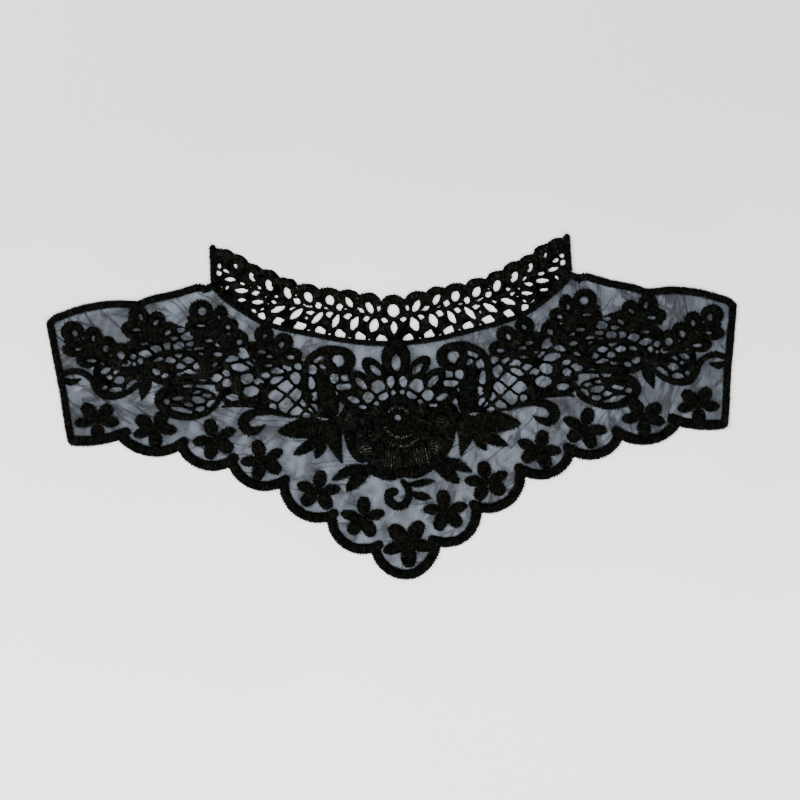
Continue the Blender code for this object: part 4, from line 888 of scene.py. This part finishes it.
SMALL_GAPS = (
    # x, y, width, height and tilt of each gap that is narrower than 4 mm
    (-167.0, 39.7, 4.0, 1.0, 0), (-156.0, 37.2, 2.6, 2.0, 0), (-159.3, 34.1, 3.4, 1.6, 10),
    (-143.2, 36.9, 3.6, 2.6, -15), (-143.1, 33.0, 2.2, 1.6, 0), (-152.9, 29.0, 3.8, 1.5, 25),
    (-156.8, 26.3, 2.0, 2.0, 0), (-159.7, 20.4, 2.6, 1.8, 0), (-163.3, 42.3, 2.2, 1.6, 0),
    (-134.5, 48.0, 4.2, 1.1, 0), (-130.3, 49.7, 2.6, 1.4, 30), (-139.6, 34.5, 2.4, 3.4, -20),
    (-112.7, 39.8, 3.2, 1.4, 0), (-107.2, 40.1, 5.0, 1.4, 0), (-118.5, 36.7, 4.2, 1.6, 0),
    (-108.8, 30.5, 3.4, 3.8, -30), (-118.0, 26.8, 4.2, 1.5, 10), (-126.8, 26.0, 3.8, 1.8, 10),
    (-122.0, 21.5, 3.2, 1.0, 0), (-106.3, 22.4, 3.4, 1.0, 0), (-107.0, 36.9, 3.6, 2.4, -20),
    (-126.0, 11.8, 3.2, 3.2, 0), (-104.2, 14.3, 4.8, 1.6, -5), (-111.9, 20.0, 7.5, 1.6, -10),
    (-101.5, 19.6, 6.6, 0.8, 0), (-93.0, 26.2, 3.6, 2.6, -15), (-95.8, 41.7, 4.2, 1.6, -5),
    (-91.0, 44.9, 1.6, 4.0, -10), (-102.9, 32.4, 2.4, 1.6, -20), (-99.4, 31.1, 4.2, 1.4, 20),
    (-103.2, 28.9, 1.8, 1.4, 0), (-80.0, 31.0, 4.4, 1.8, -40), (-76.3, 33.0, 4.2, 1.3, 10),
    (-77.0, 43.7, 4.4, 1.8, -5), (-68.6, 33.8, 4.4, 1.6, -10), (-62.8, 35.1, 1.2, 3.4, -35),
    (-53.9, 28.4, 3.2, 2.8, 0), (-68.3, 7.5, 3.0, 3.0, 0), (-46.6, 5.4, 4.6, 4.6, 20),
    (-50.2, 1.6, 4.4, 2.8, 10),
)
LATTICE_GAPS = (
    # x, y, width, height of each lozenge between the diagonal bars of the front net
    (-60.9, 17.8, 8.8, 6.4),
    (-66.4, 13.0, 7.4, 6.6),
    (-55.5, 13.2, 6.8, 6.4),
    (-61.2, 7.6, 8.2, 7.0),
    (-51.0, 9.8, 5.6, 5.6),
    (-56.1, 3.9, 6.4, 5.4),
    (-55.4, 22.4, 4.0, 7.6),
)
OUTER_SCROLL = (
    # x, y and width along the scroll that closes the outer spray, from the side edge
    (-182.6, 28.6, 3.0), (-176.0, 30.2, 3.4), (-170.8, 28.8, 3.4), (-166.6, 25.2, 3.6),
    (-164.4, 20.4, 4.0), (-161.6, 16.8, 4.0), (-156.6, 15.5, 3.6), (-150.5, 16.4, 3.4),
    (-145.0, 19.0, 3.0), (-140.6, 23.0, 2.6),
)
EDGE_LEAF = ((-182.4, 25.6, 2.6), (-177.6, 24.2, 3.8), (-172.8, 25.6, 1.2))
UPPER_OVAL = (
    # x, y and width along the upper oval scroll
    (-137.0, 27.0, 2.6), (-136.4, 32.0, 2.8), (-132.6, 36.2, 2.8), (-126.6, 38.6, 2.6),
    (-118.8, 39.0, 2.4), (-111.0, 37.6, 2.4), (-104.8, 34.0, 2.6), (-101.6, 29.0, 2.4),
)
LOWER_OVAL = (
    # x, y and width along the lower oval scroll
    (-96.0, 16.6, 2.2), (-98.8, 10.4, 2.8), (-104.0, 5.6, 3.2), (-111.4, 3.0, 3.2),
    (-119.4, 3.3, 3.6), (-126.2, 6.2, 4.4), (-130.4, 11.2, 5.0), (-129.4, 16.2, 4.4),
    (-124.6, 19.2, 3.8), (-118.0, 19.0, 3.0),
)
LOWER_OVAL_NET = (-113.8, 11.2, 33.0, 15.6, 0)
DROP_LEAF = ((-136.3, 28.4, 2.0), (-137.2, 22.4, 6.8), (-138.6, 17.4, 5.0), (-140.0, 12.9, 0.8))
STEM_LEAF = ((-96.2, 7.9, 1.2), (-90.0, 9.4, 3.2), (-83.0, 9.2, 3.6), (-76.0, 7.6, 2.6))
STEMS = (
    # x, y and width along the stems and small leaves that fill the clusters of looped petals
    ((-173.0, 46.8, 3.6), (-166.6, 42.8, 5.6), (-161.6, 38.6, 5.0), (-156.4, 33.6, 4.0), (-149.6, 30.4, 2.0)),
    ((-180.0, 46.6, 2.0), (-172.6, 46.0, 3.4), (-167.0, 42.6, 2.0)),
    ((-163.6, 44.0, 2.0), (-160.6, 38.6, 3.6), (-154.0, 35.0, 2.6), (-147.0, 33.8, 1.6)),
    ((-138.0, 54.6, 4.0), (-133.6, 51.4, 6.4), (-129.0, 46.4, 5.0), (-122.6, 45.0, 2.0)),
    ((-146.0, 48.4, 2.0), (-138.6, 48.6, 3.6), (-132.0, 46.0, 3.6), (-126.0, 46.2, 2.0)),
    ((-100.0, 60.0, 4.0), (-98.4, 53.4, 6.6), (-95.0, 47.4, 6.0), (-90.6, 40.4, 5.0), (-87.0, 36.0, 2.0)),
    ((-112.0, 57.0, 2.4), (-106.0, 56.8, 3.6), (-100.0, 53.0, 4.0)),
    ((-110.0, 48.4, 3.0), (-102.0, 48.6, 4.0), (-96.6, 45.0, 4.4), (-92.0, 40.0, 3.0)),
    ((-84.0, 49.0, 2.0), (-87.6, 47.6, 4.0), (-89.0, 42.6, 4.0), (-86.0, 38.0, 2.4)),
    ((-69.4, 43.6, 4.0), (-66.6, 39.0, 6.4), (-63.0, 33.6, 5.0), (-58.0, 29.8, 2.4)),
    ((-78.6, 41.8, 2.4), (-71.0, 41.4, 4.6), (-65.6, 38.0, 4.0), (-60.0, 37.4, 3.0)),
    ((-77.0, 33.6, 1.6), (-69.0, 32.2, 3.4), (-60.0, 31.4, 2.6), (-52.6, 32.0, 1.6)),
    ((-107.0, 32.0, 2.4), (-102.4, 26.6, 4.4), (-98.4, 28.6, 3.0), (-92.0, 30.8, 1.6)),
    ((-85.6, 8.8, 2.2), (-86.0, 17.0, 2.8), (-86.4, 25.4, 1.6)),
    ((-73.4, 8.0, 3.0), (-73.0, 14.0, 3.6), (-74.4, 19.6, 2.0)),
)
NET_RINGS = (
    # x, y, width and height of the loop, then the same and the tilt of its hole, over the net
    (-98.0, 36.6, 13.4, 8.6, -97.1, 36.7, 4.6, 2.2, -5),
)
INNER_STROKES = (
    # x, y and width along the strokes inside the two ovals and over the net
    ((-134.4, 33.0, 1.6), (-127.6, 31.4, 4.6), (-120.6, 31.0, 1.4)),
    ((-135.0, 28.4, 2.4), (-132.4, 24.6, 3.4), (-127.0, 22.6, 3.4), (-120.0, 23.6, 2.2)),
    ((-121.0, 24.9, 1.4), (-112.0, 24.6, 1.6), (-103.0, 24.9, 1.4)),
    ((-121.0, 21.9, 1.4), (-112.0, 21.6, 1.6), (-101.0, 21.7, 1.4)),
    ((-152.6, 27.2, 1.6), (-146.0, 29.4, 4.4), (-138.6, 30.2, 2.0)),
    ((-127.0, 13.6, 1.2), (-119.4, 16.0, 2.6), (-112.6, 17.4, 3.0), (-110.6, 20.2, 1.2)),
    ((-124.8, 9.6, 1.2), (-119.4, 10.9, 1.8), (-113.4, 12.0, 1.2)),
)
EYE_GROWTH = 0.7
STRETCHES = (("front", -78.6, 0.0), ("middle", -142.5, -78.6), ("outer", -200.0, -142.5))

WING_STROKES = (OUTER_SCROLL, EDGE_LEAF, UPPER_OVAL, LOWER_OVAL, DROP_LEAF, STEM_LEAF, *INNER_STROKES)
WING_LOOPS = [(*row[:6], row[6] + EYE_GROWTH, row[7] + EYE_GROWTH, row[8]) for row in EYELETS + NET_RINGS]


def wing_shape(side, low, high):
    """The net of one stretch of a wing, as a function of the places in a grid."""

    def shape(x, y):
        x, y = waver(x, y)
        body = np.minimum(region(x, y, NET_OUTLINE, side), oval(x, y, LOWER_OVAL_NET, side))
        gaps = [oval(x, y, row, side, NET_POWER) for row in NET_GAPS + SMALL_GAPS]
        gaps += [oval(x, y, row, side, LATTICE_POWER) for row in LATTICE_GAPS]
        bar = np.where(side * (x + CENTRE_X) > LATTICE_FROM, LATTICE_BAR, NET_BAR)
        body = net(body, gaps, bar, np.where(bar == LATTICE_BAR, LATTICE_GROWTH, NET_GROWTH))
        for rows in STEMS:
            body = np.minimum(body, stroke(x, y, rows, side) + SEAM)
        for row in NET_GAPS + SMALL_GAPS:
            body = np.maximum(body, -oval(x, y, row, side, NET_POWER))
        for rows in WING_STROKES:
            body = np.minimum(body, stroke(x, y, rows, side) + SEAM)
        for row in WING_LOOPS:
            body = np.minimum(body, oval(x, y, row[:4], side) + SEAM)
        for row in WING_LOOPS:
            body = np.maximum(body, -oval(x, y, row[4:], side))
        a, b = sorted((side * low - CENTRE_X, side * high - CENTRE_X))
        return np.maximum(body, np.maximum(a - x, x - b))

    return shape


for word, side in SIDES:
    for group, start, end in STRETCHES:
        node = f"{group}_spray_lace_{word}"
        shape = wing_shape(side, start, end)
        ground(f"{group}_net_{word}", node, shape, corners_of(node, 4.0), LACE_FLOOR, LACE_RISE)
        bm = bmesh.new()
        for rows in STEMS:
            if start < np.mean([row[0] for row in rows]) <= end:
                satin(bm, edges_of(rows, side), MOTIF_FLOOR - 0.2, 1.0)
        for k, row in enumerate(WING_LOOPS):
            if start < row[0] <= end:
                rims = ring_edges(row[4:], (*row[:4], 0.0), side)
                satin(bm, rims, MOTIF_FLOOR, 1.15 + 0.1 * (k % 3), closed=True)
        for rows in WING_STROKES:
            if start < np.mean([row[0] for row in rows]) <= end:
                satin(bm, edges_of(rows, side), MOTIF_FLOOR, 1.2)
        sew(f"{group}_spray_stitching_{word}", bm, rayon, node)

# The scrolls beside the front
# On each side a C scroll ends in a ring, a hooked scroll lies under it, and a long leaf stands
# between them.  They are plain satin stitch over a padding of running stitches.
HOOK_SCROLL = (
    # x, y and width along the hooked scroll, from its thin root to the tip inside the curl
    (-59.4, 0.9, 1.0), (-64.6, 2.9, 2.2), (-70.0, 4.1, 3.0), (-75.4, 4.5, 3.8), (-80.4, 3.6, 4.8),
    (-84.4, 1.0, 5.8), (-84.9, -3.0, 6.0), (-81.8, -5.9, 5.4), (-78.0, -5.4, 4.0), (-75.2, -4.0, 2.2),
    (-73.2, -2.5, 0.8),
)
C_SCROLL = (
    # x, y and width along the C scroll, from its foot up to the ring that ends it
    (-46.6, 11.8, 1.4), (-49.4, 13.0, 3.2), (-50.4, 20.0, 3.6), (-50.0, 26.6, 3.6), (-47.8, 31.8, 3.8),
    (-43.2, 35.4, 4.0), (-37.2, 37.2, 4.6), (-31.4, 36.6, 5.0),
)
C_RING = (-30.7, 31.0, 17.6, 15.4)
C_RING_HOLE = (-31.6, 31.0, 6.6, 6.8, 0.0)
C_NET_OUTLINE = (
    # x, y round the net between the C scroll, the crest and the standing leaf
    (-48.6, 6.0), (-50.4, 14.0), (-50.0, 26.0), (-46.0, 33.0), (-38.0, 35.0), (-30.0, 25.6), (-24.0, 24.6),
    (-22.0, 15.0), (-31.0, 12.0), (-33.0, 2.0), (-36.0, -1.0), (-44.0, 1.0),
)
C_NET_GAPS = (
    # x, y, width, height and tilt of each gap in that net
    (-42.2, 32.1, 7.0, 3.0, 30), (-45.7, 26.8, 3.8, 5.4, -5), (-46.8, 19.2, 2.6, 7.0, 3),
    (-40.3, 28.4, 4.0, 1.6, -35), (-34.2, 21.5, 4.0, 4.6, -25), (-28.4, 21.5, 4.0, 3.6, 0),
    (-29.7, 16.5, 7.5, 3.4, 5), (-32.6, 7.4, 3.4, 6.0, 0), (-46.6, 5.4, 4.6, 4.6, 20),
    (-45.4, 12.4, 2.6, 4.6, 0), (-33.8, 13.6, 2.4, 3.4, 0),
)
STANDING_LEAF = ((-40.6, 26.2, 1.0), (-38.9, 13.0, 10.0), (-35.2, -1.0, 1.0))


def leaf_edges(leaf, side=1, fullness=0.75):
    """The two edges of a leaf, given as its root, belly and tip; a low fullness makes it rounder."""
    rows = np.array(leaf, float)
    path = smooth(rows[:, :2], 1.0)
    along = np.linspace(0.0, 1.0, len(path))
    root, belly, tip = rows[:, 2]
    swell = belly * np.sin(np.pi * along**0.85) ** fullness
    width = np.maximum(swell, root + (tip - root) * along)
    return edges_of(np.hstack([path, width[:, None]]), side)


def c_net_shape(side):
    """The net inside a C scroll, as a function of the places in a grid."""

    def shape(x, y):
        x, y = waver(x, y)
        gaps = [oval(x, y, row, side) for row in C_NET_GAPS]
        return net(region(x, y, C_NET_OUTLINE, side), gaps, NET_BAR, NET_GROWTH)

    return shape


for word, side in SIDES:
    outline = lay(mirrored(C_NET_OUTLINE, side))
    corners = (outline.min(axis=0) - 1.0, outline.max(axis=0) + 1.0)
    ground(f"c_scroll_net_{word}", f"c_scroll_{word}", c_net_shape(side), corners, LACE_FLOOR, LACE_RISE)
    bm = bmesh.new()
    satin(bm, edges_of(HOOK_SCROLL, side), MOTIF_FLOOR, 1.6)
    sew(f"hook_scroll_stitching_{word}", bm, rayon, f"hook_scroll_{word}")
    bm = bmesh.new()
    satin(bm, leaf_edges(STANDING_LEAF, side, 1.0), MOTIF_FLOOR, 1.4, vein=0.25, lean=1.2)
    sew(f"standing_leaf_stitching_{word}", bm, rayon, f"standing_leaf_{word}")
    bm = bmesh.new()
    satin(bm, edges_of(C_SCROLL, side), MOTIF_FLOOR, 1.4)
    satin(bm, ring_edges(C_RING_HOLE, (*C_RING, 0.0), side), MOTIF_FLOOR, 1.45, closed=True)
    sew(f"c_scroll_stitching_{word}", bm, rayon, f"c_scroll_{word}")

# The crest over the rose
# A fan of net with seven looped petals round it, the middle one the largest.
CREST_GAPS = (
    # x, y, width, height and tilt of the gaps in the crest's net
    (-10.8, 16.0, 7.4, 6.8, 0), (-16.3, 10.4, 5.4, 5.6, 0), (-7.6, 10.9, 5.6, 3.0, 25),
    (-3.4, 18.5, 3.4, 5.6, -10), (-12.4, 6.9, 3.4, 2.2, 40), (-20.0, 5.1, 5.0, 1.0, 0),
    (-2.6, 12.6, 2.2, 1.9, 0),
)
CREST_HOLE = (0.0, 28.9, 5.2, 9.2, 0)
CREST_LOOPS = (
    # x, y, length, width and tilt of the crest's side loops
    (-12.8, 26.2, 14.6, 9.0, -45),
    (-20.4, 19.4, 14.6, 9.4, -42),
    (-25.8, 10.0, 13.4, 9.6, -18),
)
CREST_EYES = (
    # x, y, width, height and tilt of the eyes of the crest's side loops
    (-11.4, 25.0, 8.0, 3.6, -45),
    (-19.6, 18.1, 8.6, 3.8, -45),
    (-24.2, 9.4, 7.2, 3.5, -22),
)
CREST_CENTRE = (0.0, 31.4, 16.0, 17.4)
CREST_ARC = ((-33.0, 1.0), (-27.4, 9.0), (-20.6, 18.0), (-12.4, 25.6), (0.0, 29.0))


def crest_shape(x, y):
    """The fan of net and the petals round it."""
    x, y = waver(x, y)
    rows = whole(CREST_ARC) + [(20.0, 2.0), (-20.0, 2.0)]
    gaps = [oval(x, y, row, side, NET_POWER) for side in (1, -1) for row in CREST_GAPS]
    body = np.minimum(net(region(x, y, rows), gaps, NET_BAR, NET_GROWTH), oval(x, y, CREST_CENTRE))
    for side in (1, -1):
        for row in CREST_LOOPS:
            body = np.minimum(body, oval(x, y, row, side))
        for row in CREST_EYES:
            body = np.maximum(body, -oval(x, y, row, side))
    return np.maximum(body, -oval(x, y, CREST_HOLE))


ground("crest_net", "rose_crest", crest_shape, corners_of("rose_crest", 3.0), LACE_FLOOR, LACE_RISE)
bm = bmesh.new()
satin(bm, ring_edges(CREST_HOLE, (*CREST_CENTRE, 0.0)), MOTIF_FLOOR, 1.5, closed=True)
for side in (1, -1):
    for loop, hole in zip(CREST_LOOPS, CREST_EYES):
        satin(bm, ring_edges(hole, loop, side), MOTIF_FLOOR, 1.3, closed=True)
sew("crest_loops", bm, rayon, "rose_crest")

# The rose
# Heavy satin stitch over padding: a round heart of rings, a petal at each side, a skirt of upright
# threads below, and leaves that spread from it.
LEAVES = (
    # group, then x, y, width for the root, the belly and the tip of each leaf
    ("side", (-37.6, -3.8, 5.0), (-52.0, -5.2, 11.4), (-65.9, -6.7, 0.8)),
    ("side", (-39.4, -7.6, 5.4), (-49.0, -14.2, 6.8), (-58.3, -19.4, 0.8)),
    ("side", (-40.0, -8.8, 4.2), (-43.2, -16.2, 5.4), (-46.7, -21.6, 0.8)),
    ("foot", (-17.4, -27.6, 3.6), (-28.4, -29.4, 6.2), (-38.0, -34.0, 0.8)),
    ("foot", (-16.6, -29.0, 4.6), (-24.4, -34.2, 7.4), (-30.6, -40.0, 0.8)),
)
ROSE_HEART = (-0.3, -4.0, 13.8)
ROSE_HOLE = (-0.7, -1.3, 3.8, 3.8)
ROSE_STITCH = 1.5
ROSE_GROOVE = 0.55
PADDING_RISE = 1.1
PADDING_STEP = 0.6
HEART_RINGS = (
    # share of the way out from the hole where a ring starts and ends, its height and its stitch
    (0.0, 0.24, 2.0, 0.9),
    (0.20, 0.46, 1.75, 1.2),
    (0.40, 0.70, 1.85, 1.4),
    (0.66, 1.0, 1.35, 1.0),
)
HEART_ARCS = (
    # x, y and width along the raised arcs that curl over the heart
    ((-5.6, 2.2, 0.8), (-2.4, 4.4, 1.6), (2.2, 4.0, 1.6), (5.4, 1.0, 1.0)),
    ((-8.6, -5.4, 0.8), (-5.4, -9.2, 1.6), (0.6, -12.0, 1.8), (6.8, -10.6, 1.0)),
    ((-7.4, -14.2, 1.0), (-1.0, -16.8, 1.8), (5.0, -16.2, 1.6), (9.8, -13.2, 0.8)),
)
LOBE = (-22.6, -9.6, 16.0, 31.2, 8)
LOBE_SLIT = (-30.8, -12.6, 1.6, 7.2, 4)
LOBE_GUARD = ((-38.0, -6.0, 5.0), (-35.8, -14.0, 7.6), (-32.6, -24.8, 1.0))
LOBE_LADDERS = (
    # x, y and width down the two ladders of slanted threads inside the side petal
    ((-27.4, 1.6, 5.0), (-24.8, -2.6, 8.0), (-22.0, -7.8, 6.4)),
    ((-21.8, -9.6, 5.0), (-20.6, -14.4, 9.6), (-18.6, -20.0, 5.6)),
)
SKIRT_BANDS = (
    # x, y and width down each stitched band of the skirt
    ((-10.6, -17.4, 4.0), (-12.4, -23.4, 4.6), (-12.0, -30.0, 5.0)),
    ((11.6, -17.4, 4.0), (13.6, -23.4, 4.6), (13.2, -30.0, 5.0)),
    ((-14.0, -30.6, 5.0), (-7.0, -32.2, 6.6), (-0.4, -31.4, 5.0)),
    ((15.0, -30.6, 5.0), (8.2, -32.0, 6.6), (1.2, -31.4, 5.0)),
)
SKIRT_LADDERS = (
    # x, y and width across the upright threads of the skirt
    ((-10.6, -23.4, 11.0), (-5.0, -23.8, 12.4), (0.6, -23.6, 11.0)),
    ((1.4, -23.4, 11.0), (6.0, -23.8, 12.4), (11.6, -23.4, 11.0)),
)
ROSE_PADDING = (
    # x, y and width of the padding between the rose's pieces
    ((-14.0, 3.0, 7.0), (-13.6, -6.0, 9.0), (-15.0, -16.0, 9.0), (-15.6, -25.0, 6.0)),
    ((-30.0, -3.0, 9.0), (-40.0, -5.0, 7.0), (-44.0, -6.0, 5.0)),
    ((-34.0, -9.0, 9.0), (-42.0, -8.0, 6.0)),
    ((-14.0, -15.0, 5.0), (0.0, -18.0, 6.0)),
)


def padding_shape(x, y):
    """The padding under the whole rose: heart, side petals and skirt in one."""
    body = oval(x, y, (*ROSE_HEART[:2], 2 * ROSE_HEART[2], 2 * ROSE_HEART[2], 0.0)) + 0.6
    for side in (1, -1):
        body = np.minimum(body, oval(x, y, LOBE, side) + 0.6)
        for rows in ROSE_PADDING:
            body = np.minimum(body, stroke(x, y, rows, side))
    for rows in SKIRT_BANDS + SKIRT_LADDERS:
        body = np.minimum(body, stroke(x, y, rows) + 0.6)
    for hole, side in ((ROSE_HOLE, 1), (LOBE_SLIT, 1), (LOBE_SLIT, -1)):
        body = np.maximum(body, -oval(x, y, hole, side))
    return body


low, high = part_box("rose_skirt")[0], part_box("rose_heart")[1]
reach = abs(ROSE_PADDING[1][-1][0]) + 4.0
corners = (np.array((-reach, low[1] / MM - 2.0)), np.array((reach, high[1] / MM + 2.0)))
ground("rose_padding", "rose_heart", padding_shape, corners, LACE_FLOOR, PADDING_RISE, PADDING_STEP)
bm = bmesh.new()
x, y, radius = ROSE_HEART
hx, hy, hw = ROSE_HOLE[:3]
for inner, outer, height, stitch in HEART_RINGS:
    ovals = []
    for share in (inner, outer):
        size = hw + (2 * radius - hw) * share
        ovals.append((hx + (x - hx) * share, hy + (y - hy) * share, size, size, 0.0))
    satin(bm, ring_edges(*ovals, stitch=stitch), MOTIF_FLOOR + 0.1, height, closed=True, groove=0.68)
for rows in HEART_ARCS:
    satin(bm, edges_of(rows), MOTIF_FLOOR + 1.4, 1.0, shine=2.9)
sew("rose_heart_stitching", bm, rayon, "rose_heart")
bm = bmesh.new()
for rows in SKIRT_LADDERS:
    satin(bm, edges_of(rows, stitch=ROSE_STITCH), MOTIF_FLOOR, 1.5, groove=ROSE_GROOVE, shine=1.5)
for k, rows in enumerate(SKIRT_BANDS):
    satin(bm, edges_of(rows), MOTIF_FLOOR, 1.45 + 0.12 * (k // 2))
sew("rose_skirt_stitching", bm, rayon, "rose_skirt")
for word, side in SIDES:
    bm = bmesh.new()
    x, y, width, height, tilt = LOBE
    inner = (x + 0.6, y, width - 7.0, height - 9.0, tilt)
    satin(bm, ring_edges(inner, LOBE, side, stitch=0.9), MOTIF_FLOOR, 1.5, closed=True)
    satin(bm, edges_of(LOBE_GUARD, side), MOTIF_FLOOR, 1.3)
    for rows in LOBE_LADDERS:
        ladder = edges_of(rows, side, stitch=ROSE_STITCH)
        satin(bm, ladder, MOTIF_FLOOR + 0.3, 1.55, lean=1.2, groove=ROSE_GROOVE, shine=1.6)
    sew(f"rose_petal_stitching_{word}", bm, rayon, f"rose_petal_{word}")
    for group in ("side", "foot"):
        bm = bmesh.new()
        for k, leaf in enumerate([leaf[1:] for leaf in LEAVES if leaf[0] == group]):
            satin(bm, leaf_edges(leaf, side), MOTIF_FLOOR, 1.45 - 0.12 * k, vein=0.3, lean=1.4)
        sew(f"rose_{group}_leaf_stitching_{word}", bm, rayon, f"rose_{group}_leaves_{word}")

# The sprig and the flowers
# Below the rose a curled stem with two leaves, and round the hem thirteen flowers: two pointed petals
# and three round ones, each sewn in satin stitch from a vein, with a knot in the middle.
SPIRAL = (
    # x, y and width along the spiral below the rose, as it lies in the picture and not mirrored
    (0.2, -36.2, 3.0), (2.8, -40.0, 3.8), (3.0, -44.6, 4.2), (0.2, -48.8, 4.8), (-4.6, -49.2, 4.6),
    (-7.8, -46.0, 5.2), (-7.2, -42.2, 5.0), (-4.4, -41.6, 4.4),
)
SPIRAL_LEAVES = (
    ((2.4, -37.8, 1.6), (9.8, -38.4, 4.2), (17.4, -38.4, 0.8)),
    ((3.6, -42.6, 1.6), (9.6, -45.4, 4.8), (14.9, -47.6, 0.8)),
)
FLOWERS = (
    # x, y, size and the turns of the petals in the left half, first the two pointed ones
    (-165.0, 2.8, 1.0, -8, 186, 43, 127, 270),
    (-133.6, -2.4, 1.0, -8, 198, 55, 148, 270),
    (-101.1, -9.5, 1.0, 24, 186, 106, 249, -36),
    (-75.5, -21.9, 1.0, 24, 183, 107, 247, -36),
    (-46.1, -39.8, 1.0, 4, 160, 80, 216, -59),
    (-22.6, -55.1, 1.0, 11, 167, 83, 227, -64),
)
CENTRE_FLOWER = (1.2, -69.8, 1.16, -19, 198, 52, 133, 270)
POINTED_PETAL = (12.0, 6.0, 0.8, 0.62)
ROUND_PETAL = (11.2, 7.6, 0.8, 0.42)
KNOT = 3.4

bm = bmesh.new()
satin(bm, edges_of(SPIRAL), MOTIF_FLOOR, 1.4)
for leaf in SPIRAL_LEAVES:
    satin(bm, leaf_edges(leaf), MOTIF_FLOOR, 1.2, vein=0.25, lean=1.0)
sew("spiral_sprig_stitching", bm, rayon, "spiral_sprig")


def petal(flower, k):
    """The root, belly and tip of one petal of a flower, and how round its ends are."""
    x, y, share = flower[:3]
    angle = math.radians(flower[3 + k])
    length, belly, tip, fullness = POINTED_PETAL if k < 2 else ROUND_PETAL
    rows = []
    for part, width in ((0.1, 2.4), (0.58, belly), (1.0, tip)):
        reach = part * length * share
        rows.append((x + reach * math.cos(angle), y + reach * math.sin(angle), width * share))
    return rows, fullness


beds = [("flower_centre", CENTRE_FLOWER, 1)]
for word, side in SIDES:
    beds += [(f"flower_{k}_{word}", flower, side) for k, flower in enumerate(FLOWERS[::-1], 1)]
for node, flower, side in beds:
    bm = bmesh.new()
    for k in range(5):
        rows, fullness = petal(flower, k)
        satin(bm, leaf_edges(rows, side, fullness), MOTIF_FLOOR, 1.35, vein=0.3, lean=0.9)
    x, y = flower[:2]
    rims = ring_edges((x, y, 0.1, 0.1, 0.0), (x, y, KNOT, KNOT, 0.0), side)
    satin(bm, rims, MOTIF_FLOOR + 0.9, 0.7, closed=True)
    sew(f"{node}_stitching", bm, rayon, node)
